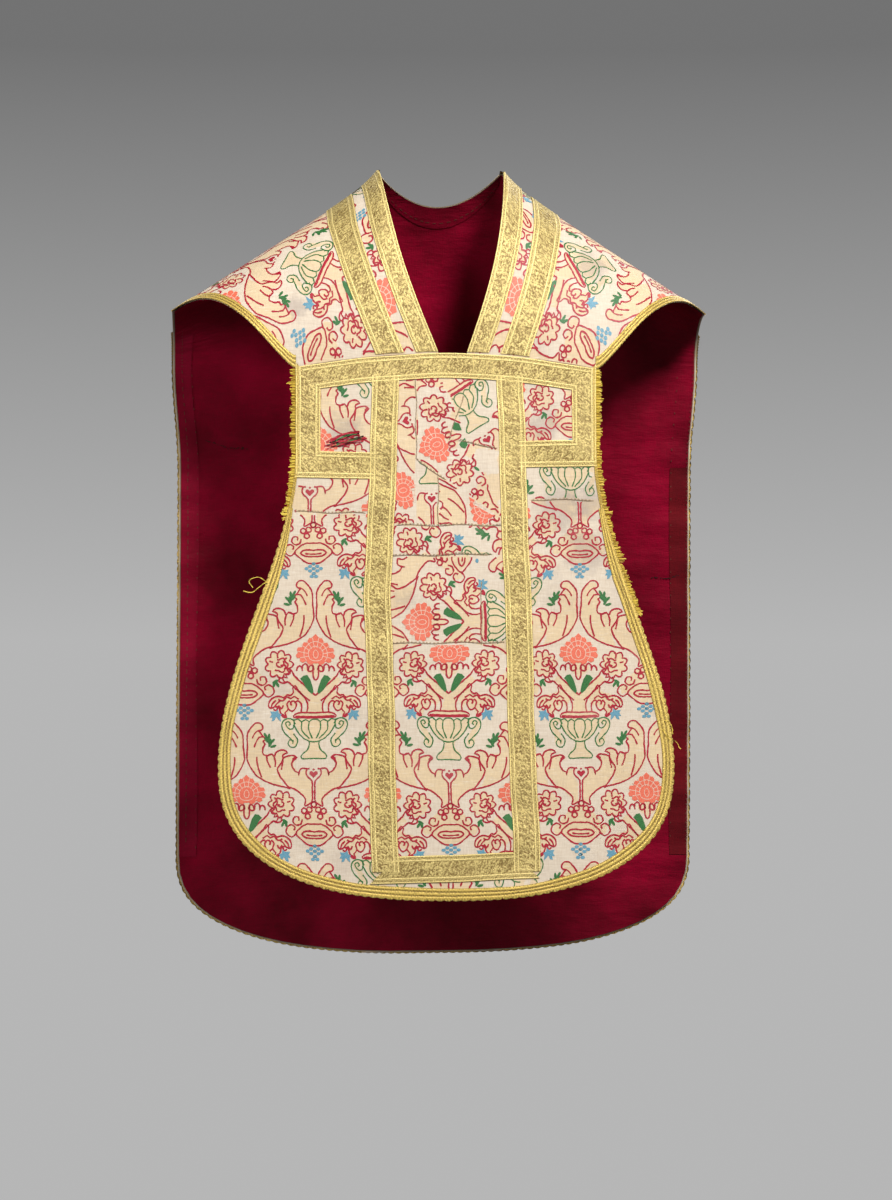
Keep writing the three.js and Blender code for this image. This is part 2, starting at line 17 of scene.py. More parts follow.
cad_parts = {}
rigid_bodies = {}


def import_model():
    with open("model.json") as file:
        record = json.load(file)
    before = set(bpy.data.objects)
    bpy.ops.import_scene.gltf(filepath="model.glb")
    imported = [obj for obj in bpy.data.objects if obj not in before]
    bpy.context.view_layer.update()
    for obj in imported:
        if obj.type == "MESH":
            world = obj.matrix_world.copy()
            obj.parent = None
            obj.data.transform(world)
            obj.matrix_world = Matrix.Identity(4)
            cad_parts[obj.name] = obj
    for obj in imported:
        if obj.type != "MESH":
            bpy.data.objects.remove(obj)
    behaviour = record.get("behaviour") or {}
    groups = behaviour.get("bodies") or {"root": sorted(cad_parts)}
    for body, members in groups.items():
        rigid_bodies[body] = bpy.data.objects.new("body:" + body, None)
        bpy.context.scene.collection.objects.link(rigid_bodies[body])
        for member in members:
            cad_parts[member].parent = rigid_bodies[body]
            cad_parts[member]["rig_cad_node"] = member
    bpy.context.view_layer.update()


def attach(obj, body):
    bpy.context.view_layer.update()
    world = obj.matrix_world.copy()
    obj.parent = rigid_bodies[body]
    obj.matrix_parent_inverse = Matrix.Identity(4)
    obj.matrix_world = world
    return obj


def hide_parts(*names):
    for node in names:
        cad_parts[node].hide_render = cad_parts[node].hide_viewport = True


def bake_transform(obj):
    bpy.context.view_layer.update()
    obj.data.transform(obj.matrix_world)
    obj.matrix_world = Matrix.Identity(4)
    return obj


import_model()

# %% [markdown]
# ## Camera, light and studio
# The vestment is seen from its own height through a long lens, a few degrees to one side, so
# the far back panel shifts a little against the front one. A round backdrop wraps the whole
# studio, so any other view also sees a plain pale ground.

# %% Camera
MM = 0.001
CAMERA_DISTANCE = 4.5
CAMERA_SIDE = math.radians(4)
VIEW_HEIGHT = 1.644              # what the frame's height takes in at the shoulders' depth
AIM = Vector((0.0082, 0.0, -0.585))

camera_data = bpy.data.cameras.new("camera")
camera = bpy.data.objects.new("camera", camera_data)
bpy.context.collection.objects.link(camera)
forward = Vector((math.sin(CAMERA_SIDE), math.cos(CAMERA_SIDE), 0))
camera.location = AIM - forward * CAMERA_DISTANCE
camera.rotation_euler = forward.to_track_quat("-Z", "Y").to_euler()
camera_data.sensor_width = 36
camera_data.lens = 36 * CAMERA_DISTANCE / VIEW_HEIGHT
bpy.context.scene.camera = camera
bpy.context.scene.view_settings.view_transform = "Standard"
print(f"lens {camera_data.lens:.0f} mm at {CAMERA_DISTANCE} m")

# %% [markdown]
# ### Small steps for building finishes
# Every finish below is a chain of a few shader nodes. They could be wired by hand in the shader
# editor; a short function for each step is used instead, so that a finish reads like a recipe.


# %% Helpers for nodes and materials
def new_material(name):
    material = bpy.data.materials.new(name)
    material.use_nodes = True
    return material, material.node_tree.nodes["Principled BSDF"]


def add_node(material, kind, **values):
    node = material.node_tree.nodes.new(kind)
    for key, value in values.items():
        if key in node.inputs:
            node.inputs[key].default_value = value
        else:
            setattr(node, key, value)
    return node


def connect(material, source, target):
    material.node_tree.links.new(source, target)


def mix_colours(material, share, first, second):
    """A colour between two; each may be a socket or a plain colour."""
    node = add_node(material, "ShaderNodeMix", data_type="RGBA")
    for socket, value in ((node.inputs[0], share), (node.inputs[6], first), (node.inputs[7], second)):
        if hasattr(value, "is_output"):
            connect(material, value, socket)
        else:
            socket.default_value = value
    return node.outputs[2]


def maths(material, operation, first, second=0.0):
    node = add_node(material, "ShaderNodeMath", operation=operation)
    for socket, value in ((node.inputs[0], first), (node.inputs[1], second)):
        if hasattr(value, "is_output"):
            connect(material, value, socket)
        else:
            socket.default_value = value
    return node.outputs[0]


def ramp(material, source, low, high):
    """0 below low, 1 above high."""
    node = add_node(material, "ShaderNodeMapRange", clamp=True)
    node.inputs[1].default_value = low
    node.inputs[2].default_value = high
    connect(material, source, node.inputs[0])
    return node.outputs[0]


def noise_of(material, vector, scale, detail=3.0, rough=0.55):
    node = add_node(material, "ShaderNodeTexNoise")
    node.inputs["Scale"].default_value = scale
    node.inputs["Detail"].default_value = detail
    node.inputs["Roughness"].default_value = rough
    connect(material, vector, node.inputs["Vector"])
    return node.outputs["Fac"]


def stretched(material, vector, scale):
    node = add_node(material, "ShaderNodeMapping")
    node.inputs["Scale"].default_value = scale
    connect(material, vector, node.inputs["Vector"])
    return node.outputs["Vector"]


def bump(material, height, strength, distance=0.001):
    node = add_node(material, "ShaderNodeBump")
    node.inputs["Strength"].default_value = strength
    node.inputs["Distance"].default_value = distance
    connect(material, height, node.inputs["Height"])
    return node.outputs["Normal"]


def object_place(material):
    return add_node(material, "ShaderNodeTexCoord").outputs["Object"]


def cloth_place(material):
    return add_node(material, "ShaderNodeUVMap", uv_map="cloth").outputs["UV"]


# %% [markdown]
# ### The studio
# A sheet of pale paper usually curves up behind a garment. A flat plane would do for one view;
# a profile spun all round is used, so that every view has the same ground. It gives its own
# light, casts no shadow and throws no colour on the cloth.

# %% Studio
FLOOR_LEVEL = -1.62
STUDIO_RADIUS = 9.5
COVE_RADIUS = 1.5
STUDIO_HEIGHT = 7.0


def make_studio():
    mesh = bmesh.new()
    points = [Vector((0, 0, FLOOR_LEVEL)), Vector((STUDIO_RADIUS - COVE_RADIUS, 0, FLOOR_LEVEL))]
    cove_steps = 10
    for i in range(1, cove_steps + 1):
        angle = math.pi / 2 * i / cove_steps
        points.append(Vector((STUDIO_RADIUS - COVE_RADIUS + COVE_RADIUS * math.sin(angle), 0,
                              FLOOR_LEVEL + COVE_RADIUS * (1 - math.cos(angle)))))
    points.append(Vector((STUDIO_RADIUS, 0, STUDIO_HEIGHT)))
    points.append(Vector((0, 0, STUDIO_HEIGHT)))
    profile = [mesh.verts.new(p) for p in points]
    edges = [mesh.edges.new(pair) for pair in zip(profile, profile[1:])]
    bmesh.ops.spin(mesh, geom=profile + edges, cent=(0, 0, 0), axis=(0, 0, 1),
                   angle=2 * math.pi, steps=64, use_merge=True)
    bmesh.ops.remove_doubles(mesh, verts=mesh.verts, dist=1e-4)
    for face in mesh.faces:
        face.smooth = True
    data = bpy.data.meshes.new("studio")
    mesh.to_mesh(data)
    mesh.free()
    studio = bpy.data.objects.new("studio", data)
    bpy.context.collection.objects.link(studio)
    studio.data.materials.append(studio_paint())
    studio.visible_shadow = False
    studio.visible_diffuse = False
    studio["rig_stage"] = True


def studio_paint():
    """Pale grey, painted darker with height as shade of falling light, and giving off its own soft
    light.
    """
    material, shader = new_material("studio_paint")
    height = add_node(material, "ShaderNodeSeparateXYZ")
    connect(material, object_place(material), height.inputs[0])
    # Painted shade: the glow fades from pale at the floor to dark high up.
    share = ramp(material, height.outputs["Z"], -0.75, 1.75)
    colour = mix_colours(material, share, (0.47, 0.47, 0.47, 1), (0.17, 0.17, 0.17, 1))
    nodes = material.node_tree.nodes
    glow = nodes.new("ShaderNodeEmission")
    connect(material, colour, glow.inputs["Color"])
    glow.inputs["Strength"].default_value = 1.0
    connect(material, glow.outputs[0], nodes["Material Output"].inputs["Surface"])
    nodes.remove(shader)
    return material


def add_light(name, place, size, power):
    data = bpy.data.lights.new(name, "AREA")
    data.shape = "SQUARE"
    data.size = size
    data.energy = power
    light = bpy.data.objects.new(name, data)
    light.location = place
    light.rotation_euler = (LIGHTS_AIM - Vector(place)).to_track_quat("-Z", "Y").to_euler()
    bpy.context.collection.objects.link(light)


make_studio()
print("studio", 2 * STUDIO_RADIUS, "m across")

# %% [markdown]
# The key light comes from high on one side and throws the shadow of each wing on the lining.
# A wide, weak fill opens those shadows, and two lamps behind lift the outer face of the back.

# %% Lights
LIGHTS_AIM = Vector((0, 0, -0.5))
add_light("key", (1.35, -3.0, 2.35), 1.0, 212)
add_light("fill", (-2.6, -3.2, 0.9), 1.6, 70)
add_light("behind_right", (2.6, 2.6, 1.6), 1.5, 60)
add_light("behind_left", (-2.6, 2.6, 1.0), 1.5, 40)
world = bpy.data.worlds.new("world")
bpy.context.scene.world = world
world.use_nodes = True
world.node_tree.nodes["Background"].inputs["Color"].default_value = (0.5, 0.5, 0.5, 1)
world.node_tree.nodes["Background"].inputs["Strength"].default_value = 0.24
print("lights:", [light.name for light in bpy.data.lights])

# %% [markdown]
# ## The draped shape
# Every ply follows one smooth surface, the way stitched plies hang together: a roll over each
# shoulder, then panels that hang and stand a little away from the body. A place on the cloth
# is (across, down): across in millimetres from the middle, and down either as a height on the
# hanging panels or as an angle round the shoulder. Ripples are shared by all the plies.

# %% Driving sizes, in millimetres
NECK_HALF = 85.0
NECK_BACK = 63.0
SPAN_HALF = 366.0
RIDGE_FALL = 182.0
NECK_RISE = 12.0
SEAM_DROP = 257.0
SEAM_ARCH = 19.0
SEAM_HALF = 202.0
FRONT_DEPTH, FRONT_WRAP, FRONT_FLARE = 128.0, 30.0, 38.0
BACK_DEPTH, BACK_WRAP, BACK_FLARE = 118.0, 36.0, 50.0
BACK_BEND = 262.0
FRONT_HEM = 981.0
BACK_HEM = 1086.0
FRONT_WAIST_HALF, FRONT_WAIST_DROP = 200.0, 385.0
FRONT_WIDE_HALF, FRONT_WIDE_DROP = 302.0, 805.0
BACK_SLIM_HALF, BACK_SLIM_DROP = 358.0, 400.0
BACK_WIDE_HALF, BACK_WIDE_DROP = 361.0, 945.0
FRONT_CORNER = (FRONT_WIDE_HALF, FRONT_WIDE_DROP, FRONT_HEM)
BACK_CORNER = (BACK_WIDE_HALF, BACK_WIDE_DROP, BACK_HEM)
LINING_AT, LINEN_AT, BROCADE_AT, FIGURE_AT, BAND_AT = -0.8, 0.4, 1.8, 2.15, 3.0
print(f"span {2 * SPAN_HALF:.0f}, front {FRONT_HEM:.0f} and back {BACK_HEM:.0f} mm long")


# %% Lines of the cut: shoulder ridge, chest seam and depth
def smooth(t):
    t = np.clip(t, 0, 1)
    return t * t * (3 - 2 * t)


def ridge(x):
    beyond = np.maximum(0, np.abs(x) - NECK_HALF)
    return -RIDGE_FALL / (SPAN_HALF - NECK_HALF) * beyond - NECK_RISE * (1 - np.exp(-beyond / 20))


def chest_seam(x):
    return -SEAM_DROP - SEAM_ARCH * np.minimum(1, np.abs(x) / SEAM_HALF) ** 2


def front_depth(x):
    return FRONT_DEPTH - FRONT_WRAP * (x / SPAN_HALF) ** 2


def back_depth(x):
    return BACK_DEPTH - BACK_WRAP * (x / SPAN_HALF) ** 2


print(f"wing tips {-ridge(SPAN_HALF):.0f} mm below the neck's corners")

# %% [markdown]
# Stiff brocade never hangs quite flat: it keeps slow upright folds, puckers beside sewn bands
# and a cockle all over. A cloth simulation could find them, but then each ply would move by
# itself. Sums of slow waves keep all the plies in step, so none cuts through the next.


# %% Ripples, in millimetres outwards
def ripple_front(x, z):
    """Soft unevenness of the hanging front, in millimetres outwards."""
    low = np.clip((-z - 300) / 500, 0, 1)
    long_folds = 2.6 * np.sin(x / 47 + 0.9 * np.sin(z / 160)) * low
    puckers = 0.7 * np.sin(z / 11 + 1.5 * np.sin(x / 60)) * np.exp(-((np.abs(x) - 92) / 26) ** 2)
    cockle = 0.8 * np.sin(x / 19 + z / 31) * np.sin(z / 27 - x / 45)
    return long_folds + puckers + cockle


def ripple_back(x, z):
    side = np.clip((np.abs(x) - 250) / 110, 0, 1)
    folds = 5.0 * np.sin(x / 66 + 0.7 * np.sin(z / 210)) * np.clip((-z - 250) / 500, 0, 1)
    puckers = 1.3 * side * np.sin(z / 9.5 + 2.0 * np.sin(z / 70))
    cockle = 1.2 * np.sin(x / 23 + z / 41) * np.sin(z / 33)
    return folds + puckers + cockle


def ripple_yoke(x, z):
    return 0.9 * np.sin(x / 17 + z / 29) * np.sin(z / 21 - x / 37)


FOLD_PROBE = np.linspace(-SPAN_HALF, SPAN_HALF, 99)
print(f"deepest fold of the back {ripple_back(FOLD_PROBE, -900.0).max():.1f} mm")


# %% Hanging panels and the roll over the shoulders
def front_sheet(x, z):
    """Hanging front: across x, height z."""
    fall = (-SEAM_DROP - z) / (FRONT_HEM - SEAM_DROP)
    calm = smooth((chest_seam(x) - z) / 60)
    y = -front_depth(x) - FRONT_FLARE * fall - ripple_front(x, z) * calm
    return np.stack([x, y, z], -1)


def back_sheet(x, z):
    fall = (-BACK_BEND - z) / (BACK_HEM - BACK_BEND)
    calm = smooth((-BACK_BEND - z) / 60)
    y = back_depth(x) + BACK_FLARE * fall + ripple_back(x, z) * calm
    return np.stack([x, y, z], -1)


def front_shoulder(x, angle):
    """Front half of the roll over a shoulder: angle from the ridge, 0 to a quarter turn."""
    drop = ridge(x) - chest_seam(x)
    z = ridge(x) - drop * (1 - np.cos(angle))
    calm = np.sin(np.clip(angle, 0, math.pi / 2) * 2) ** 2
    wave = ripple_yoke(x, z) * calm
    y = -front_depth(x) * np.sin(angle) - wave * np.sin(angle)
    return np.stack([x, y, z + wave * np.cos(angle)], -1)


def back_shoulder(x, angle):
    drop = ridge(x) + BACK_BEND
    z = ridge(x) - drop * (1 - np.cos(angle))
    return np.stack([x, back_depth(x) * np.sin(angle), z], -1)


BACK_ARC = 298.0                 # cloth length over the shoulder, ridge to the back's bend


def whole_back(x, s):
    """Back from ridge to hem in one length: s is the height once it hangs, arc length above."""
    angle = np.clip(1 - (s + BACK_BEND) / BACK_ARC, 0, 1) * math.pi / 2
    roll = back_shoulder(x, angle)
    hang = back_sheet(x, np.minimum(s, -BACK_BEND))
    return np.where((s > -BACK_BEND)[..., None], roll, hang)


def back_top(x):
    """Upper end of the back cloth: the ridge, or the round of the neck opening."""
    round_of_neck = NECK_BACK * np.sqrt(np.maximum(0, 1 - (x / NECK_HALF) ** 2))
    start = np.arcsin(np.clip(round_of_neck / back_depth(x), 0, 1)) / (math.pi / 2)
    return BACK_ARC - BACK_BEND - BACK_ARC * start


def wing_edge_angle(x):
    """Where the front yoke ends: at the chest seam, or on the swept edge of the wing."""
    share = np.clip((np.abs(x) - SEAM_HALF) / (SPAN_HALF - SEAM_HALF), 0, 1)
    return math.pi / 2 * (1 - share ** 1.3)


def lifted(surface, a, b, height):
    """Points of a surface moved outwards by a height that may vary from point to point."""
    step_a, step_b = 0.5, (0.004 if surface is front_shoulder else 0.5)
    here = surface(a, b)
    across = surface(a + step_a, b) - surface(a - step_a, b)
    down = surface(a, b + step_b) - surface(a, b - step_b)
    normal = np.cross(across, down)
    normal /= np.linalg.norm(normal, axis=-1, keepdims=True) + 1e-12
    middle = np.array([0, 0, -420.0])
    side = np.sign(((here - middle) * normal * np.array([0.02, 1, 0.2])).sum(-1, keepdims=True))
    return here + normal * side * np.asarray(height)[..., None]


print("chest at", np.round(front_sheet(np.zeros(1), np.full(1, -SEAM_DROP))[0]), "mm")


# %% Outlines of the two panels
def front_half_width(z):
    share = smooth((-z - FRONT_WAIST_DROP) / (FRONT_WIDE_DROP - FRONT_WAIST_DROP))
    return FRONT_WAIST_HALF + (FRONT_WIDE_HALF - FRONT_WAIST_HALF) * share


def back_half_width(z):
    upper = smooth((-z - BACK_BEND) / (BACK_SLIM_DROP - BACK_BEND))
    lower = smooth((-z - BACK_SLIM_DROP) / (BACK_WIDE_DROP - BACK_SLIM_DROP))
    slimmed = SPAN_HALF - (SPAN_HALF - BACK_SLIM_HALF) * upper
    return slimmed + (BACK_WIDE_HALF - BACK_SLIM_HALF) * lower


def corner_half_width(z, wide, wide_drop, hem):
    """Half width inside a rounded lower corner, or the wide value above it."""
    share = np.clip((-z - wide_drop) / (hem - wide_drop), 0, 1)
    return wide * (1 - share ** 2.5) ** 0.4


def front_reach(z):
    corner = corner_half_width(z, *FRONT_CORNER)
    return np.where(-z < FRONT_WIDE_DROP, front_half_width(z), corner)


def back_reach(z):
    corner = corner_half_width(z, *BACK_CORNER)
    return np.where(-z < BACK_WIDE_DROP, back_half_width(z), corner)


print(f"front {2 * FRONT_WIDE_HALF:.0f} mm and back {2 * BACK_WIDE_HALF:.0f} mm wide low down")

# %% [markdown]
# ## Cloth as a mesh
# A ply starts as a flat grid. Its lower corners are cut round while it is still flat, as the
# maker's shears would do it, and only then is every point laid on the draped shape.


def hang_front(piece):
    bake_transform(piece)


def hang_back(piece):
    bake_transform(piece)


def finish_piece(name, mesh, materials, hold):
    """hold is the body that the piece rides on, or hang_front or hang_back, which bake its placing into
    the mesh.
    """
    for face in mesh.faces:
        face.smooth = True
    data = bpy.data.meshes.new(name)
    mesh.to_mesh(data)
    mesh.free()
    piece = bpy.data.objects.new(name, data)
    bpy.context.collection.objects.link(piece)
    for material in materials:
        data.materials.append(material)
    if callable(hold):
        hold(piece)
    else:
        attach(piece, hold)
    return piece


def flat_of(mesh):
    return np.array([v.co for v in mesh.verts], float).reshape(-1, 3)


def move_to(mesh, points):
    for vert, point in zip(mesh.verts, points):
        vert.co = Vector(point * MM)


def record_cloth_map(mesh):
    """Keeps each point's flat place, in metres, as the map that weave and figures follow."""
    layer = mesh.loops.layers.uv.new("cloth")
    for face in mesh.faces:
        for loop in face.loops:
            loop[layer].uv = (loop.vert.co.x * MM, loop.vert.co.y * MM)


def lay_flat(mesh, surface, height):
    """Keeps the flat map, then lays every point on the drape at a height above it."""
    flat = flat_of(mesh)
    record_cloth_map(mesh)
    heights = height(flat) if callable(height) else np.full(len(flat), height)
    move_to(mesh, lifted(surface, flat[:, 0], flat[:, 1], heights))


def record_straw(mesh, values):
    """Keeps how straw coloured the ground is at each point."""
    layer = mesh.verts.layers.float.new("straw")
    for vert, value in zip(mesh.verts, values):
        vert[layer] = value


def flat_grid(x0, x1, y0, y1, pitch):
    mesh = bmesh.new()
    columns = max(2, round((x1 - x0) / pitch))
    rows = max(2, round((y1 - y0) / pitch))
    bmesh.ops.create_grid(mesh, x_segments=columns, y_segments=rows, size=0.5)
    bmesh.ops.transform(mesh, verts=mesh.verts, matrix=Matrix.Translation(
        ((x0 + x1) / 2, (y0 + y1) / 2, 0)) @ Matrix.Diagonal((x1 - x0, y1 - y0, 1, 1)))
    return mesh


def cut_corners(mesh, wide, wide_drop, hem, inset):
    """Rounds the two lower corners of a flat panel by a fan of straight cuts."""
    steps = 14
    points = []
    for i in range(steps + 1):
        angle = math.pi / 2 * i / steps
        points.append(((wide - inset) * math.cos(angle) ** 0.8,
                       -wide_drop - (hem - wide_drop - inset) * math.sin(angle) ** 0.8))
    for (xa, za), (xb, zb) in zip(points, points[1:]):
        for hand in (-1, 1):
            low = [f for f in mesh.faces if f.calc_center_median().x * hand > -5
                   and min(v.co.y for v in f.verts) < -wide_drop + 10]
            geometry = set(low)
            for face in low:
                geometry.update(face.edges)
                geometry.update(face.verts)
            bmesh.ops.bisect_plane(
                mesh, geom=list(geometry), dist=1e-4, plane_co=(hand * xa, za, 0),
                plane_no=(hand * (za - zb), xb - xa, 0), clear_outer=True)


# %% [markdown]
# ## The woven figures
# The brocade repeats one symmetric figure: acanthus leaves over a coral flower, a bouquet in a
# green urn, a heart on a stem and a lipped fruit. Alternate columns stand half a repeat lower.
# Only the right half is drawn, as a few points a stroke, and mirrored. Outlines become narrow
# raised ribbons, because the brocading silk really floats on top of the ground; the straw
# coloured areas between them belong to the ground and are kept as a value on its points.

# %% The figure's upright strokes, in millimetres from the coral flower
CRIMSON, GREEN, CORAL, BLUE, PALE = 0, 1, 2, 3, 4
REPEAT = 371.0
COLUMN_STEP = 91.0
THREAD_HALF = {CRIMSON: 1.06, GREEN: 0.8}
PALE_LINE_HALF = 0.42
NET_PITCH = 6.0

half_strokes = [
    (CRIMSON, [(1.5, 43), (5, 33), (13, 21), (22, 14), (36, 7.6), (50, 4), (60, 1.5)]),
    (CRIMSON, [(1.5, 43), (2.8, 58), (3.4, 75), (8.4, 84), (14.5, 90), (20.6, 90), (24.4, 85.5),
               (23, 81), (18, 80)]),
    (CRIMSON, [(10, 70), (13, 76), (17.5, 80), (21, 77), (25, 72)]),
    (CRIMSON, [(12, 58), (15, 65), (19, 71), (25, 72), (27.5, 68.5), (24, 66)]),
    (CRIMSON, [(24, 66), (27, 62), (24, 57), (23.6, 51), (24.4, 48), (30, 46.5), (36, 48.6), (39, 44),
               (41, 50), (46, 53), (52, 53.7), (56.5, 49.6), (51, 47.6), (50.4, 40), (48.4, 27)]),
    (CRIMSON, [(28.5, 46), (30, 38), (33.5, 30)]),
    (CRIMSON, [(39, 44), (40.5, 37), (40, 31)]),
    (CRIMSON, [(15, 45), (16, 33), (21, 17)]),
    (CRIMSON, [(0, -59), (14, -46), (28, -33)]),
    (CRIMSON, [(7, -66), (21, -54), (35, -41)]),
    (CRIMSON, [(28, -33), (31, -27), (37, -24), (34, -30), (39, -31), (36, -36), (42, -35), (40, -41),
               (35, -41)]),
    (CRIMSON, [(35, -41), (42, -43), (47, -40), (45, -35)]),
    (CRIMSON, [(10.4, -81), (9.4, -73), (11.5, -65), (17, -58), (22, -52), (26, -46), (29, -49),
               (28, -55), (32, -59), (36, -58), (40, -62), (46, -60), (53, -62), (58, -67), (59, -73),
               (56, -76), (51, -74), (46, -74)]),
    (CRIMSON, [(17.5, -81), (17, -73), (19, -68), (23, -66), (26, -69)]),
    (CRIMSON, [(51, -74), (48, -69), (44, -66)]),
    (CRIMSON, [(56, -76), (54, -70), (50, -65.5)]),
    (CRIMSON, [(46, -74), (44, -80), (41, -87), (36, -88), (38, -82), (34, -77), (36, -70), (32, -66)]),
    (CRIMSON, [(34, -77), (29, -80), (25, -76), (24, -70), (27, -66), (31, -68), (30, -72)]),
    (CRIMSON, [(0, -82), (21, -82), (26, -88), (0, -89)]),
    (CRIMSON, [(0, -87.4), (25, -86.6)]),
    (GREEN, [(26, -90.5), (26, -98), (21, -108), (13, -117), (6.5, -121), (7, -129), (10, -134),
             (15, -138), (15.6, -144), (0, -144)]),
    (GREEN, [(6.5, -121), (0, -121.5)]),
    (GREEN, [(7, -94), (7.4, -104), (2.6, -117)]),
    (GREEN, [(16.5, -94), (16, -106), (6, -117)]),
    (GREEN, [(0, -91), (3.5, -91), (7, -94), (11.5, -91), (16.5, -94), (21, -90.5), (26, -92)]),
    (GREEN, [(24.5, -97), (28, -91), (34, -89.5), (39.5, -92), (42, -99), (38.5, -108), (31, -116),
             (26.5, -121.5)]),
    (GREEN, [(26.5, -98), (27.5, -103), (31, -104), (35.5, -100), (37, -95.5), (33.5, -93.5),
             (31, -97), (33, -99)]),
    (GREEN, [(26.5, -110), (21.5, -118), (22, -124), (25.5, -128.5), (31, -127.5), (33.5, -123),
             (31.5, -118.5), (27, -119.5), (27.5, -123.5)]),
    (CRIMSON, [(4, -203), (1.8, -199), (1.8, -178), (3, -173), (8.3, -168), (10, -163), (8.5, -158),
               (5.2, -157.5)]),
    (CRIMSON, [(34, -182), (24, -186), (11.5, -197), (12, -207), (4, -203)]),
    (CRIMSON, [(8.5, -158), (14.8, -157), (18.5, -160.5), (20, -167), (20, -163), (24.5, -160.5),
               (28.6, -153), (27.2, -147), (22.4, -142.4), (26, -139.8), (31, -139.5), (38.6, -142),
               (43.7, -151), (48, -158.5), (43.7, -169), (34, -182)]),
    (CRIMSON, [(23, -142.4), (27, -144), (27.2, -149)]),
    (CRIMSON, [(25, -242), (29, -246), (34, -246), (38.5, -241), (37, -234), (31, -231), (26.5, -234),
               (28, -238)]),
    (CRIMSON, [(0, -230), (13, -231), (25, -242), (15, -252.5), (8, -257), (0, -257.5)]),
    (CRIMSON, [(0, -239.5), (11, -239), (17, -243), (11, -247.5), (0, -248)]),
    (CRIMSON, [(0, -245), (11, -244)]),
    (CRIMSON, [(16, -224), (18, -230), (24.5, -231.5), (29, -227), (26.5, -221), (21, -221.5),
               (21, -226)]),
]


# %% Its curls, carnations and berries
def curl(x, y, radius, turn, start):
    """A spiral stroke, from its outside to its centre."""
    steps = 9
    return [(x + radius * (1 - 0.75 * i / steps) * math.cos(start + turn * i / steps),
             y + radius * (1 - 0.75 * i / steps) * math.sin(start + turn * i / steps))
            for i in range(steps + 1)]


def ring(x, y, radius, lobes=0, depth=0.0, steps=14):
    """A closed stroke: a circle, or a scalloped flower edge."""
    points = []
    for i in range(steps + 1):
        angle = 2 * math.pi * i / steps
        r = radius + depth * abs(math.sin(lobes * angle / 2))
        points.append((x + r * math.cos(angle), y + r * math.sin(angle)))
    return points


half_strokes += [
    (CRIMSON, curl(8.5, -24, 7, 4.6, math.pi / 2)),
    (CRIMSON, [(3.5, -20), (3.2, -34), (0, -39)]),
    (CRIMSON, ring(47, -19, 13.5, 9, 4.6, 54)),
    (CRIMSON, ring(45, -20, 6.8, 5, 2.6, 26)[4:24]),
]
for at in (0.3, 1.35, 2.4):
    half_strokes.append((CRIMSON, [(47 + 8 * math.cos(at), -19 + 8 * math.sin(at)),
                                   (47 + 13 * math.cos(at), -19 + 13 * math.sin(at))]))
for sx, sy in ((6, -22), (14, -20), (21, -23)):
    half_strokes.append((CRIMSON, [(sx - 3.5, sy - 4), (sx - 3, sy), (sx, sy + 2.5), (sx + 3, sy),
                                   (sx + 3.5, sy - 4)]))
half_strokes += [
    (CRIMSON, [(21, -64), (27, -60), (31, -63), (36, -61), (41, -66), (47, -64)]),
    (CRIMSON, [(40, -72), (43, -77), (46, -72), (49, -79), (53, -77)]),
    (CRIMSON, curl(47, -18, 6.5, 5.5, 2.5)),
    (CRIMSON, curl(41, -23, 4.5, 4.0, 0.5)),
]
for bx, by in ((0.1, -205), (6, -211.5), (13.2, -213), (8.5, -220)):
    half_strokes.append((CRIMSON, ring(bx, by, 3.5)))


print("strokes on each side:", len(half_strokes))


# %% Its filled flower, leaves and grapes
def oval(x, y, long, wide, tilt):
    """A filled petal or leaf, longest along tilt."""
    steps = 10
    points = []
    for i in range(steps):
        angle = 2 * math.pi * i / steps
        a, b = long * math.cos(angle), wide * math.sin(angle)
        points.append((x + a * math.cos(tilt) - b * math.sin(tilt),
                       y + a * math.sin(tilt) + b * math.cos(tilt)))
    return points


half_lines = []                          # pale lines left inside the coral flower
half_blots = [
    (GREEN, [(11, -32), (16, -33), (20, -37), (16.5, -41), (13.5, -47), (9, -53), (4, -57),
             (2.5, -54), (4, -47), (7, -38)]),
    (CRIMSON, [(0, -170), (5.6, -164.5), (5, -161.6), (2.4, -161), (0, -163)]),
    (CRIMSON, [(0, -160.5), (1.8, -159), (0, -157.3)]),
    (CRIMSON, [(36, -88), (41, -87.5), (43, -82), (39, -84)]),
    (BLUE, [(47, -77.5), (50, -80.5), (57, -80), (55, -84), (57.5, -88), (54, -88), (55, -93),
            (51.5, -92), (49, -87), (46, -91), (43, -93.5), (44, -87), (42, -84), (46, -82.5)]),
    (CORAL, [(0, 21), (3.5, 17.5), (6, 15.5), (8.6, 15.8), (10.5, 12.5), (11.6, 9.6), (16, 10),
             (17.8, 6.2), (18, 3.6), (23.6, 3.2), (25, -0.6), (23.6, -3.6), (26.2, -6.8),
             (24.6, -10.4), (20.6, -10.6), (21, -14.4), (17, -16.6), (12.6, -14.2), (10.4, -17.8),
             (5.6, -19), (2.4, -16.6), (0, -17.4)]),
]
for turn, tip in ((11, 22.5), (34, 21.5), (57, 23.5), (80, 25), (101, 21)):
    a = math.radians(90 - turn)
    half_lines.append([(9.5 * math.cos(a), -6 + 9.5 * math.sin(a)),
                       (tip * math.cos(a), -6 + tip * math.sin(a))])
half_lines += [
    [(0, 5.2), (5.4, 3.6), (9.4, -1), (9.8, -6.5), (7.6, -11.5), (3, -13.6), (0, -13.8)],
    [(0, 11.4), (7, 9.4), (13.2, 3.6), (15.6, -3), (15, -9.5), (12, -13.6)],
    [(0, 0.6), (2.6, -1.6), (3.3, -6), (2, -9.4), (0, -10.4)],
]
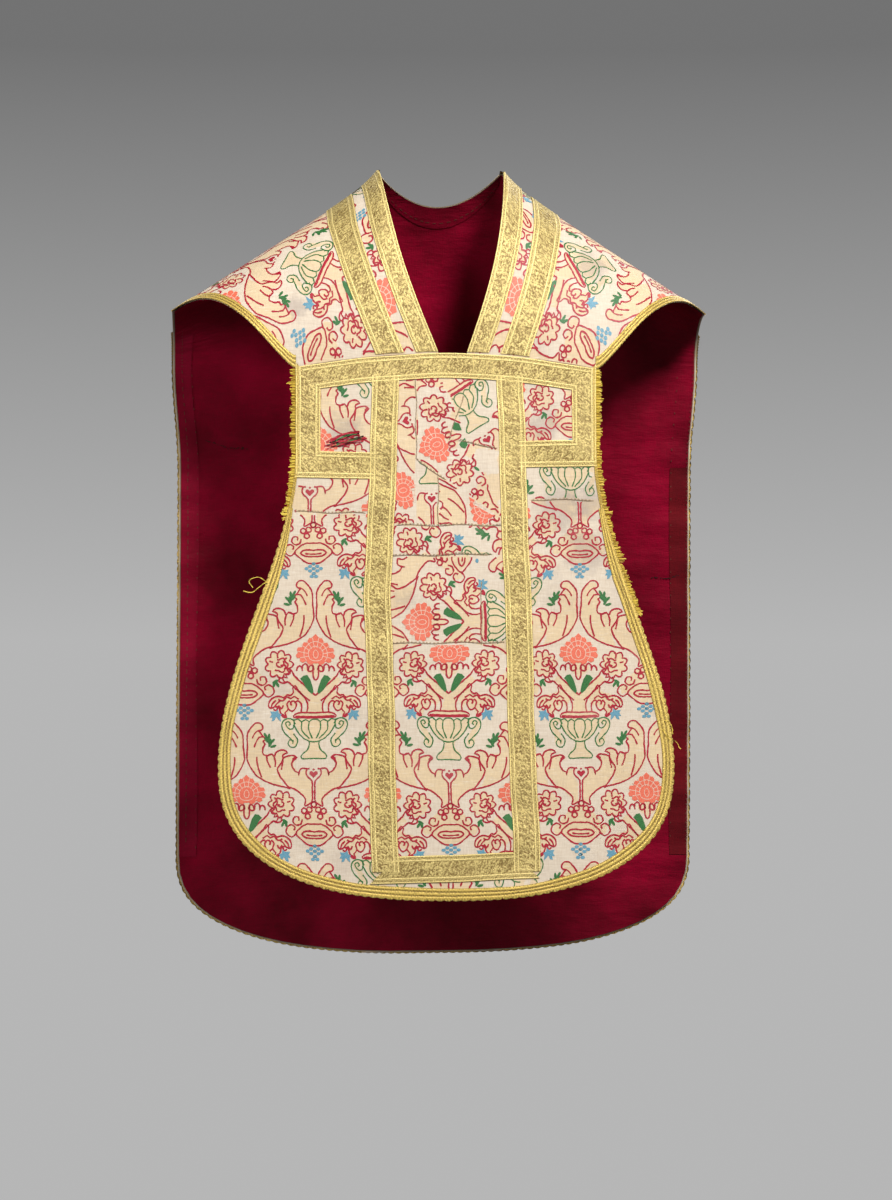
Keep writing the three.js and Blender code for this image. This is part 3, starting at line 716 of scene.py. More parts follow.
for lx, ly, tilt in ((34, 62, 60), (38, 59, 15), (31.5, 67, 100), (37, 66, 45), (57.5, -120, 110),
                     (62, -118, 50), (58.5, -113.5, 95), (63, -112, 60), (40, -226.5, 30),
                     (42.5, -230, -60), (38.5, -230, 80)):
    half_blots.append((GREEN, oval(lx, ly, 4.4, 1.8, math.radians(tilt))))
for dx, dy in ((0, -258), (0, -264.5), (5, -261.5), (9.8, -264.5), (5, -267.5), (0, -271), (3, -275)):
    half_blots.append((BLUE, oval(dx, dy, 2.9, 2.2, 0)))

print("filled shapes on each side:", len(half_blots))

# %% Areas of straw coloured ground
straw_areas = [
    [(1.5, 43), (3, 58), (3.4, 75), (8.4, 84), (14.5, 90), (20.6, 90), (24.4, 85.5), (21, 77), (27, 69),
     (26, 64), (23.6, 51), (24.4, 48), (36, 48.6), (39, 44), (41, 50), (52, 53.7), (56.5, 49.6),
     (51, 47.6), (50.4, 40), (48.4, 27), (44, 17), (50, 4), (36, 7.6), (22, 14), (13, 21), (5, 33)],
    [(8.5, -158), (14.8, -157), (20, -163), (28.6, -153), (27.2, -147), (22.4, -142.4), (31, -139.5),
     (38.6, -142), (43.7, -151), (48, -158.5), (43.7, -169), (34, -182), (24, -186), (11.5, -197),
     (12, -207), (3, -203), (2, -178), (8.3, -168), (10, -163)],
    [(0, -91), (26, -91), (26, -98), (21, -108), (13, -117), (6.5, -121), (7, -129), (15, -138),
     (15.6, -144), (0, -144)],
    [(0, -59), (7, -66), (9.4, -73), (10.4, -81), (21, -82), (26, -88), (0, -89)],
    [(0, -59), (28, -33), (35, -41), (7, -66), (0, -66)],
    [(17.5, -81), (17, -73), (11.5, -65), (22, -52), (26, -46), (28, -55), (36, -58), (53, -62),
     (59, -73), (51, -74), (46, -74), (41, -87), (36, -88), (33, -78), (25, -76), (23, -66)],
    [(0, -203), (13, -212), (24, -222), (29, -231), (37, -234), (34, -245), (25, -242), (15, -252.5),
     (0, -257.5)],
    [(0, -18), (8, -17), (15, -24), (9, -31), (3.2, -34), (0, -39)],
    ring(47, -19, 16),
    [(24.5, -97), (28, -91), (39.5, -92), (42, -99), (33, -112), (33.5, -123), (27, -128), (22, -124),
     (26.5, -110), (34, -101), (30, -98)],
]


print("straw areas on each side:", len(straw_areas))

# %% [markdown]
# A woven float could be painted on as colour alone. Here each stroke is a low ribbon, because
# brocading silk stands a little proud and catches the light along its crown. Wide blots are
# cut along a net, so that they can follow the ripples of the cloth under them.


# %% Ribbons and blots
def rounded(points, step=2.6):
    """Points every step or so along a smooth curve through the given ones."""
    p = [np.array(q, float) for q in points]
    p = [2 * p[0] - p[1]] + p + [2 * p[-1] - p[-2]]
    out = []
    for a, b, c, d in zip(p, p[1:], p[2:], p[3:]):
        count = max(1, round(np.linalg.norm(c - b) / step))
        for i in range(count):
            t = i / count
            out.append(0.5 * (2 * b + (c - a) * t + (2 * a - 5 * b + 4 * c - d) * t * t
                              + (3 * b - a - 3 * c + d) * t ** 3))
    out.append(p[-2])
    return np.array(out)


def add_ribbon(mesh, points, half, colour, layer=0.0):
    """A strip with a low crown, three points wide, along a path."""
    path = rounded(points)
    along = np.gradient(path, axis=0)
    along /= np.linalg.norm(along, axis=1, keepdims=True) + 1e-9
    across = np.stack([-along[:, 1], along[:, 0]], 1)
    made = bmesh.ops.create_grid(mesh, x_segments=len(path) - 1, y_segments=1, size=0.5)["verts"]
    order = sorted(made, key=lambda v: (round(v.co.x, 4), v.co.y))
    for i, vert in enumerate(order):
        side = -1 if i % 2 == 0 else 1
        row = i // 2
        x, y = path[row] + across[row] * side * half * (0.65 + 0.65 * random.random())
        vert.co = (x, y, layer)
    for face in {f for v in made for f in v.link_faces}:
        face.material_index = colour


def add_blot(mesh, points, colour):
    face = mesh.faces.new([mesh.verts.new((x, y, 0.05)) for x, y in points])
    face.material_index = colour
    if face.normal.z < 0:
        face.normal_flip()


def net_blots(mesh):
    """Cuts wide blots along a net of lines, so that they can follow the rippled cloth."""
    for step in range(-48, 18):
        for at, normal in (((0, NET_PITCH * step, 0), (0, 1, 0)),
                           ((NET_PITCH * (step + 25), 0, 0), (1, 0, 0))):
            wide = [f for f in mesh.faces if f.calc_area() > 25]
            near = {g for f in wide for g in (*f.verts, *f.edges, f)}
            bmesh.ops.bisect_plane(mesh, geom=list(near), plane_co=at, plane_no=normal, dist=1e-4)


# %% One whole figure
def make_figure():
    random.seed(7)
    figure = bmesh.new()
    for colour, points in half_strokes:
        add_ribbon(figure, points, THREAD_HALF[colour], colour)
    for colour, points in half_blots:
        add_blot(figure, points, colour)
    net_blots(figure)
    for points in half_lines:
        add_ribbon(figure, points, PALE_LINE_HALF, PALE, layer=0.15)
    figure.normal_update()
    twin = bmesh.ops.duplicate(figure, geom=figure.verts[:] + figure.edges[:] + figure.faces[:])
    twins = [g for g in twin["geom"] if isinstance(g, bmesh.types.BMVert)]
    bmesh.ops.scale(figure, vec=(-1, 1, 1), verts=twins)
    bmesh.ops.reverse_faces(figure, faces=[g for g in twin["geom"]
                                           if isinstance(g, bmesh.types.BMFace)])
    figure.normal_update()
    down = [f for f in figure.faces if f.normal.z < 0]
    bmesh.ops.reverse_faces(figure, faces=down)
    data = bpy.data.meshes.new("figure")
    figure.to_mesh(data)
    print("one figure:", len(figure.faces), "faces")
    figure.free()
    return data


figure_data = make_figure()


# %% The straw areas as values on the cloth
def inside(points, polygon):
    """Which of many points lie inside a polygon."""
    x, y = points[:, 0], points[:, 1]
    result = np.zeros(len(points), bool)
    for (xa, ya), (xb, yb) in zip(polygon, polygon[1:] + polygon[:1]):
        crosses = (ya > y) != (yb > y)
        with np.errstate(divide="ignore", invalid="ignore"):
            at = xa + (y - ya) * (xb - xa) / (yb - ya)
        result ^= crosses & (x < at)
    return result


def make_straw_tile():
    """One repeat of the straw areas, as a value for each square millimetre, softly edged."""
    columns, rows = int(2 * COLUMN_STEP), int(REPEAT)
    gx, gy = np.meshgrid(np.arange(columns) - COLUMN_STEP, np.arange(rows) - REPEAT)
    total = np.zeros(gx.size, bool)
    grid = np.stack([gx.ravel(), gy.ravel()], 1)
    for shift_x, shift_y in ((0, 0), (COLUMN_STEP, REPEAT / 2), (-COLUMN_STEP, REPEAT / 2)):
        for lap in (-2, -1, 0, 1):
            local = grid - np.array([shift_x, shift_y + lap * REPEAT])
            local[:, 0] = np.abs(local[:, 0])
            near = (local[:, 1] < 95) & (local[:, 1] > -262) & (local[:, 0] < 66)
            for area in straw_areas:
                total[near] |= inside(local[near], area)
    tile = total.reshape(rows, columns).astype(float)
    for axis in (0, 1):
        tile = (np.roll(tile, 1, axis) + 2 * tile + np.roll(tile, -1, axis)) / 4
    return tile


straw_tile = make_straw_tile()
print(f"straw coloured share of the ground: {straw_tile.mean():.2f}")


def straw_at(local):
    """Straw value at places given in the figure's own millimetres."""
    rows, columns = straw_tile.shape
    x = np.mod(local[:, 0] + COLUMN_STEP, 2 * COLUMN_STEP)
    y = np.mod(local[:, 1] + REPEAT, REPEAT)
    ix, iy = np.floor(x).astype(int), np.floor(y).astype(int)
    fx, fy = x - ix, y - iy
    value = 0
    for dx, wx in ((0, 1 - fx), (1, fx)):
        for dy, wy in ((0, 1 - fy), (1, fy)):
            value = value + straw_tile[(iy + dy) % rows, (ix + dx) % columns] * wx * wy
    return value


# %% [markdown]
# ## Cloth and metal finishes
# The ground is a cream silk ribbed across, with straw coloured areas woven in and old grey-brown
# stains. The floats are glossier silk. The bands are gilt thread wound on yellow silk, so they
# glitter in small dark and bright specks, partly the thread's own and partly painted highlight and
# shade; their own maps run along and across each band.

# %% Brocade ground
STAINS = ((-0.138, -0.362, 0.03), (0.13, -0.35, 0.03), (0.15, -0.462, 0.04), (0.185, -0.52, 0.035),
          (0.19, -0.455, 0.03), (-0.06, -0.585, 0.018), (-0.2, -0.26, 0.018), (0.2, -0.2, 0.03))


def weave(material, place, across, down):
    """Fine threads both ways, each a noise stretched along its thread."""
    warp = noise_of(material, stretched(material, place, (across, down * 0.06, 1)), 1.0, 1.0)
    weft = noise_of(material, stretched(material, place, (across * 0.05, down, 1)), 1.0, 1.0)
    return maths(material, "ADD", warp, weft)


def brocade_paint(name, tint=(1, 1, 1), age=0.5):
    material, shader = new_material(name)
    place = cloth_place(material)
    straw = add_node(material, "ShaderNodeAttribute", attribute_name="straw").outputs["Fac"]
    wander = noise_of(material, place, 900.0, 2.0)
    edge = maths(material, "ADD", straw, maths(material, "MULTIPLY",
                                               maths(material, "SUBTRACT", wander, 0.5), 0.5))
    share = ramp(material, edge, 0.42, 0.58)
    cream = (0.78 * tint[0], 0.67 * tint[1], 0.53 * tint[2], 1)
    yellow = (0.81 * tint[0], 0.62 * tint[1], 0.375 * tint[2], 1)
    ground = mix_colours(material, share, cream, yellow)
    threads = weave(material, place, 1500.0, 2100.0)
    worn = mix_colours(material, ramp(material, threads, 0.85, 1.3),
                       mix_colours(material, 0.2, ground, (0.42, 0.33, 0.24, 1)), ground)
    slub = noise_of(material, stretched(material, place, (60, 700, 1)), 1.0, 3.0)
    slubbed = mix_colours(material, ramp(material, slub, 0.58, 0.8), worn, (0.86, 0.8, 0.7, 1))
    streak = noise_of(material, stretched(material, place, (45, 420, 1)), 1.0, 2.0)
    picked = noise_of(material, stretched(material, place, (480, 60, 1)), 1.0, 2.0)
    lines = maths(material, "ADD", ramp(material, streak, 0.35, 0.7), ramp(material, picked, 0.4, 0.75))
    slubbed = mix_colours(material, maths(material, "MULTIPLY", lines, 0.24), slubbed,
                          (0.5, 0.36, 0.24, 1))
    soil = noise_of(material, place, 9.0, 6.0, 0.65)
    spots = noise_of(material, place, 55.0, 3.0, 0.6)
    dirt = maths(material, "ADD", ramp(material, soil, 0.55, 0.82), ramp(material, spots, 0.7, 0.86))
    for x, z, radius in STAINS:
        gap = add_node(material, "ShaderNodeVectorMath", operation="DISTANCE")
        connect(material, place, gap.inputs[0])
        gap.inputs[1].default_value = (x, z, 0)
        ragged = maths(material, "ADD", gap.outputs["Value"],
                       maths(material, "MULTIPLY", maths(material, "SUBTRACT", spots, 0.5), 0.05))
        dirt = maths(material, "ADD", dirt, ramp(material, ragged, radius, radius * 0.35))
    dirt = maths(material, "MINIMUM", dirt, 1.4)
    aged = mix_colours(material, maths(material, "MULTIPLY", dirt, age), slubbed,
                       (0.36, 0.29, 0.25, 1))
    connect(material, aged, shader.inputs["Base Color"])
    shader.inputs["Roughness"].default_value = 0.62
    shader.inputs["Specular IOR Level"].default_value = 0.25
    connect(material, bump(material, threads, 0.45, 0.0004), shader.inputs["Normal"])
    return material


# %% [markdown]
# ### Silk threads, plain cloths and gilt
# Threads vary in short lengths from dark to light and fade towards cream. The satin lining and
# its facings take long soft puckers as bump, which is cheaper than more points in the mesh.


# %% Silk floats and plain cloths
def thread_paint(name, light, dark):
    """Silk of the woven figures, in short floats of slightly different colour."""
    material, shader = new_material(name)
    place = object_place(material)
    strands = noise_of(material, stretched(material, place, (700, 700, 2400)), 1.0, 2.0)
    fading = noise_of(material, place, 14.0, 3.0)
    colour = mix_colours(material, ramp(material, strands, 0.35, 0.65), dark, light)
    pale = tuple(0.7 * c + 0.3 * g for c, g in zip(light[:3], (0.72, 0.62, 0.52))) + (1,)
    connect(material, mix_colours(material, ramp(material, fading, 0.6, 0.95), colour, pale),
            shader.inputs["Base Color"])
    shader.inputs["Roughness"].default_value = 0.5
    connect(material, bump(material, strands, 0.5, 0.0004), shader.inputs["Normal"])
    return material


def cloth_paint(name, light, dark, rough, threads, sheen, puckers=0.0):
    material, shader = new_material(name)
    place = cloth_place(material)
    grain = weave(material, place, threads, threads)
    broad = noise_of(material, object_place(material), 7.0, 4.0)
    colour = mix_colours(material, ramp(material, broad, 0.35, 0.68), dark, light)
    fine = mix_colours(material, ramp(material, grain, 0.8, 1.25),
                       mix_colours(material, 0.25, colour, (0.02, 0.01, 0.01, 1)), colour)
    connect(material, fine, shader.inputs["Base Color"])
    shader.inputs["Roughness"].default_value = rough
    shader.inputs["Specular IOR Level"].default_value = 0.04 if puckers else 0.15
    shader.inputs["Sheen Weight"].default_value = sheen
    relief = grain
    if puckers:
        folds = noise_of(material, stretched(material, place, (13, 34, 1)), 1.0, 5.0, 0.55)
        relief = maths(material, "ADD", maths(material, "MULTIPLY", grain, 0.06), folds)
    connect(material, bump(material, relief, puckers or 0.3, 0.008 if puckers else 0.0004),
            shader.inputs["Normal"])
    return material


# %% [markdown]
# Gilt thread is a strip of metal wound on yellow silk. A mirror finish would be far too bright:
# it is only a third metal here, and its colour follows the weave's height: painted shade turns the
# hollows brown and painted highlight makes the crowns shine. The band's own relief is read from a
# value kept on its points.


# %% Gilt bands
def gilt_paint(name, light, middle, dark, relief):
    """Metal thread weave: map u runs along the band, v across it, both in metres."""
    material, shader = new_material(name)
    place = cloth_place(material)
    ribs = noise_of(material, stretched(material, place, (1500, 420, 1)), 1.0, 1.0)
    specks = noise_of(material, stretched(material, place, (420, 520, 1)), 1.0, 2.0, 0.75)
    tarnish = noise_of(material, object_place(material), 24.0, 4.0, 0.6)
    raised = add_node(material, "ShaderNodeAttribute", attribute_name="relief").outputs["Fac"]
    plait = noise_of(material, stretched(material, place, (1000, 300, 1)), 1.0, 3.0, 0.6)
    mixed = maths(material, "MULTIPLY", maths(material, "ADD", specks, plait), 0.5)
    fine = maths(material, "ADD", maths(material, "MULTIPLY", ribs, 0.5), mixed)
    height = maths(material, "ADD", fine, maths(material, "MULTIPLY", raised, 0.6))
    # Painted shade and highlight: dark in the weave's hollows, light on its crowns, from relief and
    # noise.
    colour = mix_colours(material, ramp(material, height, 0.66, 0.94), dark, light)
    colour = mix_colours(material, maths(material, "MULTIPLY", ramp(material, tarnish, 0.45, 0.8),
                                         0.55), colour, middle)
    connect(material, colour, shader.inputs["Base Color"])
    shader.inputs["Metallic"].default_value = 0.3
    shader.inputs["Roughness"].default_value = 0.42
    connect(material, bump(material, fine, relief, 0.0012), shader.inputs["Normal"])
    return material


# %% The finishes of this vestment, each from its light and dark colours
CRIMSON_LIGHT, CRIMSON_DARK = (0.52, 0.002, 0.026, 1), (0.26, 0.001, 0.012, 1)
brocade = brocade_paint("brocade")
brocade_pale = brocade_paint("brocade_centre", (1.02, 1.02, 1.02), 0.35)
silks = [thread_paint("crimson_silk", CRIMSON_LIGHT, CRIMSON_DARK),
         thread_paint("green_silk", (0.04, 0.2, 0.04, 1), (0.012, 0.085, 0.02, 1)),
         thread_paint("coral_silk", (0.86, 0.2, 0.11, 1), (0.66, 0.1, 0.055, 1)),
         thread_paint("blue_silk", (0.17, 0.38, 0.47, 1), (0.07, 0.22, 0.32, 1)),
         thread_paint("pale_silk", (0.8, 0.6, 0.46, 1), (0.72, 0.4, 0.28, 1))]
lining = cloth_paint("crimson_lining", (0.4, 0.0012, 0.03, 1), (0.15, 0.0008, 0.01, 1), 0.55, 1300.0,
                     0.0, 0.6)
linen = cloth_paint("linen", (0.5, 0.42, 0.3, 1), (0.36, 0.29, 0.2, 1), 0.9, 900.0, 0.1)
tape = cloth_paint("facing_tape", (0.21, 0.008, 0.014, 1), (0.1, 0.004, 0.008, 1), 0.7, 1000.0,
                   0.0, 0.4)
rose_tape = cloth_paint("facing_silk", (0.42, 0.006, 0.04, 1), (0.2, 0.002, 0.016, 1), 0.55,
                        1300.0, 0.0, 0.5)
gold = gilt_paint("gold_galloon", (0.8, 0.625, 0.23, 1), (0.5, 0.37, 0.125, 1), (0.2, 0.12, 0.024, 1),
                  0.85)
bright = gilt_paint("gold_cord", (0.95, 0.76, 0.3, 1), (0.72, 0.54, 0.19, 1), (0.4, 0.26, 0.05, 1),
                    0.6)
yellow = gilt_paint("edge_galloon", (0.82, 0.58, 0.13, 1), (0.54, 0.38, 0.085, 1),
                    (0.19, 0.11, 0.016, 1), 0.8)
fringe_silk = cloth_paint("fringe", (0.92, 0.68, 0.1, 1), (0.68, 0.45, 0.05, 1), 0.5, 1500.0, 0.2)
fringe_dark = cloth_paint("fringe_shadow", (0.62, 0.38, 0.03, 1), (0.34, 0.19, 0.015, 1), 0.5, 1500.0,
                         0.1)
stitching = cloth_paint("stitching", (0.2, 0.05, 0.035, 1), (0.12, 0.025, 0.018, 1), 0.7, 1500.0, 0.0)
print("finishes:", len(bpy.data.materials))

# %% [markdown]
# ## The plies
# Each body is laid up like the real garment: lining, linen, brocade. The shoulder halves run
# from the ridge to the chest seam or the wing's front edge, the front hangs from the chest
# seam, and the back is one length from ridge to hem that turns at the shoulder hinge.

# %% Plies over the front of a shoulder
cloths = {}


def declare(piece, mesh_area, low, high, strip=None):
    """Notes a ply as cloth cut to the flat box it filled, with its true flat area."""
    wide, long = (high - low) * MM if strip is None else (strip * MM, mesh_area / strip * MM)
    cloths[piece.name] = (piece, (wide, long), min(mesh_area * MM * MM, wide * long))


def neck_edge(z, hand):
    """Where the V edge stands at a height: hand is -1 or +1 for the two sides of the neck."""
    share = np.clip(-z / SEAM_DROP, 0, 1)
    half = NECK_HALF - 67 * share + 10 * np.sin(math.pi * share)
    return hand * half + 8 * share


def band_scale(z):
    return np.interp(-z, (0, 80), (0.8, 1.0))


def neck_line(z, outwards, hand):
    return neck_edge(z, hand) + hand * outwards * band_scale(z)


def shoulder_place(share, turn, hand, start, end):
    """Across and angle of a place between two lines: share 0 at start to 1 at end."""
    x = np.full_like(np.asarray(share, float), hand * 200.0)
    for _ in range(12):
        limit = wing_edge_angle(x)
        z = ridge(x) - (ridge(x) - chest_seam(x)) * (1 - np.cos(turn * limit))
        first = neck_line(z, start, hand)
        last = hand * SPAN_HALF if end is None else neck_line(z, end, hand)
        x = 0.5 * x + 0.5 * (first + (last - first) * share)
    return x, turn * wing_edge_angle(x)


def brocade_map(x, angle):
    """Flat place of a spot on the shoulder: across, and cloth length down from the ridge."""
    drop = ridge(x) - chest_seam(x)
    arc = angle * (front_depth(x) + drop) / 2
    return np.stack([x, ridge(x) - arc], -1)


def shoulder_ply(name, hand, start, end, height, material, pitch, straw=False):
    mesh = flat_grid(0, 1, 0, 1, pitch / 290)
    flat = flat_of(mesh)
    x, angle = shoulder_place(flat[:, 0], 1 - flat[:, 1], hand, start, end)
    place = brocade_map(x, angle)
    for vert, (a, b) in zip(mesh.verts, place):
        vert.co = (a, b, 0)
    record_cloth_map(mesh)
    if straw:
        record_straw(mesh, straw_at(shoulder_figure(place, hand)))
    area = sum(f.calc_area() for f in mesh.faces)
    move_to(mesh, lifted(front_shoulder, x, angle, np.full(len(x), height)))
    piece = finish_piece(name, mesh, [material], "yoke")
    declare(piece, area, place.min(0), place.max(0))
    return piece


# %% [markdown]
# On each shoulder the figures stand on their heads against the hang of the front: their stems
# point to the neck and slant downwards, as the cloth was cut on the slant.

# %% Laying the figures' own coordinates on each panel
SHOULDER_LEAN = math.radians(27)
SHOULDER_SPOT = {-1: (84.0, -252.0), 1: (97.0, -248.0)}   # the coral flower next to the neck
SHOULDER_UP = np.array([-math.cos(SHOULDER_LEAN), -math.sin(SHOULDER_LEAN)])
SHOULDER_SIDE = np.array([-SHOULDER_UP[1], SHOULDER_UP[0]])


def shoulder_figure(place, hand):
    """From flat places on a shoulder to the figure's own coordinates."""
    away = place * np.array([hand, 1]) - np.array(SHOULDER_SPOT[hand])
    return np.stack([away @ SHOULDER_SIDE, away @ SHOULDER_UP], -1)


def shoulder_flat(local, hand):
    """The reverse: the figure's coordinates to flat places on a shoulder."""
    away = local[:, :1] * SHOULDER_SIDE + local[:, 1:2] * SHOULDER_UP
    return (away + np.array(SHOULDER_SPOT[hand])) * np.array([hand, 1])


# %% Figures over an area
def figures_in(name, keep, centres, turn, lay, hold):
    """Copies of the figure on flat cloth, trimmed to an area, then laid by lay(flat points)."""
    mesh = bmesh.new()
    for cx, cy in centres:
        first = len(mesh.verts)
        mesh.from_mesh(figure_data)
        mesh.verts.ensure_lookup_table()
        fresh = mesh.verts[first:]
        bmesh.ops.transform(mesh, verts=fresh, matrix=Matrix.Translation((cx, cy, 0)))
    flat = turn(flat_of(mesh)[:, :2])
    wander = np.array([[1.6 * math.sin(x / 37 + y / 53), 1.3 * math.sin(y / 41 - x / 61)]
                       for x, y in flat])
    flat = flat + wander
    kept = keep(flat)
    for vert, (x, y) in zip(mesh.verts, flat):
        vert.co = (x, y, vert.co.z)
    outside = [v for v, k in zip(mesh.verts, kept) if not k]
    bmesh.ops.delete(mesh, geom=outside, context="VERTS")
    flipped = [f for f in mesh.faces if f.normal.z < 0]
    bmesh.ops.reverse_faces(mesh, faces=flipped)
    record_cloth_map(mesh)
    flat = flat_of(mesh)
    move_to(mesh, lay(flat[:, :2], FIGURE_AT + flat[:, 2]))
    print(name, len(mesh.faces), "faces")
    finish_piece(name, mesh, silks, hold)


# %% Panels between four lines, laid and declared
def as_line(value):
    return value if callable(value) else lambda q: np.full_like(np.asarray(q, float), value)


def panel_grid(left, right, top, bottom, pitch):
    """A flat grid that fills the area between two sides (functions of height) and two ends."""
    left, right, top, bottom = map(as_line, (left, right, top, bottom))
    middle = np.array([0.5 * (top(np.zeros(1))[0] + bottom(np.zeros(1))[0])])
    wide = float(right(middle)[0] - left(middle)[0])
    centre = np.array([0.5 * (right(middle)[0] + left(middle)[0])])
    long = float(top(centre)[0] - bottom(centre)[0])
    mesh = flat_grid(0, wide, 0, long, pitch)
    flat = flat_of(mesh)
    u, v = flat[:, 0] / wide, 1 - flat[:, 1] / long
    x = left(np.full_like(u, middle[0])) + u * wide
    for _ in range(6):
        s = top(x) + (bottom(x) - top(x)) * v
        x = left(s) + (right(s) - left(s)) * u
    for vert, a, b in zip(mesh.verts, x, s):
        vert.co = (a, b, 0)
    return mesh


def cloth_panel(name, mesh, surface, height, material, hold, straw=None, strip=None):
    """Lays a flat grid on the drape. A strip is a straight band of that width, eased to shape."""
    area = sum(f.calc_area() for f in mesh.faces)
    flat = flat_of(mesh)[:, :2]
    if straw:
        record_straw(mesh, straw_at(straw(flat)))
    lay_flat(mesh, surface, height)
    piece = finish_piece(name, mesh, [material], hold)
    declare(piece, area, flat.min(0), flat.max(0), strip)
    return piece


# %% [markdown]
# ### The front, scrap by scrap
# This front was never cut from one length. Its middle is pieced from scraps laid at many
# angles, and each box beside an armhole is another. Each scrap keeps its own turn and spot for
# the woven figure, and the same cuts trim the figures and the straw coloured ground.


# %% Where bands and seams run on the front
def column_centre(z, hand):
    """Centre line of an upright band of the front; they wander, as they were sewn by hand."""
    if hand < 0:
        return np.interp(-z, (257, 300, 580, 950), (-80, -81, -92.5, -83))
    return np.interp(-z, (257, 300, 530, 830, 950), (83, 84, 92, 100, 104.5))


BOX_FOOT = {-1: -406.0, 1: -390.0}
PATCH_SEAM, STRIP_SEAM, LOWER_SEAM = -486.0, -527.0, -643.0
LINING_SEAM = -598.0
BACK_COLUMN_AT = 100.0           # the back's widths meet under its upright bands
BACK_SPOT = (0, -700)            # one of the back's coral flowers


print("seams of the middle at", PATCH_SEAM, STRIP_SEAM, LOWER_SEAM, "mm")


# %% The scraps and how the figure lies on each
def turned(local, degrees, spot):
    """The figure's coordinates, turned and moved onto the front."""
    c, n = math.cos(math.radians(degrees)), math.sin(math.radians(degrees))
    return local @ np.array([[c, n], [-n, c]]) + np.array(spot)


def unturned(flat, degrees, spot):
    c, n = math.cos(math.radians(degrees)), math.sin(math.radians(degrees))
    return (flat - np.array(spot)) @ np.array([[c, -n], [n, c]])


def above(z):
    return (0, z), (0, -1)


def below(z):
    return (0, z), (0, 1)


def right_of(x):
    return (x, 0), (1, 0)


def left_of(x):
    return (x, 0), (-1, 0)


FLOWER_CUT, HAND_CUT = -41, -12          # upright seams of the pieced middle
# Each scrap has a turn in degrees, the place of a coral flower, and the lines it is cut along,
# as (point, direction pointing out of the scrap). Right and left are the wearer's.
SCRAPS = {
    "centre_upper_side": (-78, (-54, -439), [right_of(FLOWER_CUT), above(PATCH_SEAM)]),
    "centre_upper_flower": (112, (-17, -380), [left_of(FLOWER_CUT), ((15, -340), (1, 0.45)),
                                               ((-40, -398), (-0.7, -1))]),
    "centre_upper_urn": (33, (-37, -234), [((15, -340), (-1, -0.45)), ((0, -374), (-0.2, -1))]),
    "centre_upper_hand": (62, (49, -459), [((-40, -398), (0.7, 1)), ((15, -374), (0.2, 1)),
                                           left_of(HAND_CUT), above(PATCH_SEAM)]),
    "centre_upper_heart": (0, (-20, -287), [right_of(HAND_CUT), left_of(FLOWER_CUT),
                                            ((-40, -398), (0.7, 1)), above(PATCH_SEAM)]),
    "centre_strip": (90, (-70, -555), [below(PATCH_SEAM), above(STRIP_SEAM)]),
    "centre_middle": (90, (-39, -613), [below(STRIP_SEAM), above(LOWER_SEAM)]),
    "centre_lower": (0, (2, -651), [below(LOWER_SEAM)]),
}
BOXES = {-1: (0, (-172, -374)), 1: (0, (80, -297))}
SIDES = {-1: (0, (-176, -651)), 1: (0, (176, -651))}
SIDE_TOP = {-1: (0, (-181, -647), -470.0), 1: (0, (164, -316), -452.0)}


def inside_cuts(flat, cuts):
    kept = np.ones(len(flat), bool)
    for point, out in cuts:
        kept &= ((flat - np.array(point)) @ np.array(out)) < 0
    return kept


def centre_map(flat):
    """Figure coordinates for every place of the centre, scrap by scrap."""
    local = unturned(flat, *SCRAPS["centre_lower"][:2])
    for degrees, spot, cuts in SCRAPS.values():
        kept = inside_cuts(flat, cuts)
        local[kept] = unturned(flat[kept], degrees, spot)
    return local


def side_map(hand):
    def to_local(flat):
        local = unturned(flat, *SIDES[hand])
        degrees, spot, foot = SIDE_TOP[hand]
        high = flat[:, 1] > foot
        local[high] = unturned(flat[high], degrees, spot)
        return local
    return to_local


print("scraps of the middle:", len(SCRAPS))

# %% [markdown]
# ### The plies themselves
# Lining and linen run under the whole panel, and the brocade over them is pieced. The lining of
# the back is pieced across as well, and its brocade is three widths.

# %% Front lining and linen
left_line, right_line = (lambda z: column_centre(z, -1)), (lambda z: column_centre(z, 1))
mesh = panel_grid(lambda z: 3 - front_half_width(z), lambda z: front_half_width(z) - 3,
                  lambda x: chest_seam(x) - 1, -FRONT_HEM + 3, 5)
cut_corners(mesh, *FRONT_CORNER, 3)
front_lining = cloth_panel("front_crimson_lining", mesh, front_sheet, LINING_AT, lining,
                           hang_front)
mesh = panel_grid(lambda z: 2 - front_half_width(z), lambda z: front_half_width(z) - 2,
                  lambda x: chest_seam(x) - 1, -FRONT_HEM + 2, 6)
cut_corners(mesh, *FRONT_CORNER, 2)
front_linen = cloth_panel("front_linen", mesh, front_sheet, LINEN_AT, linen,
                          hang_front)

# %% Brocade of the front
centre_parts = {}
for name, top, foot in (("centre_upper", lambda x: chest_seam(x) - 2, PATCH_SEAM),
                        ("centre_middle", PATCH_SEAM, LOWER_SEAM),
                        ("centre_lower", LOWER_SEAM, -FRONT_HEM + 4)):
    mesh = panel_grid(left_line, right_line, top, foot, 2.6)
    centre_parts[name] = cloth_panel(name + "_silk", mesh, front_sheet, BROCADE_AT, brocade_pale,
                                     hang_front, straw=centre_map)

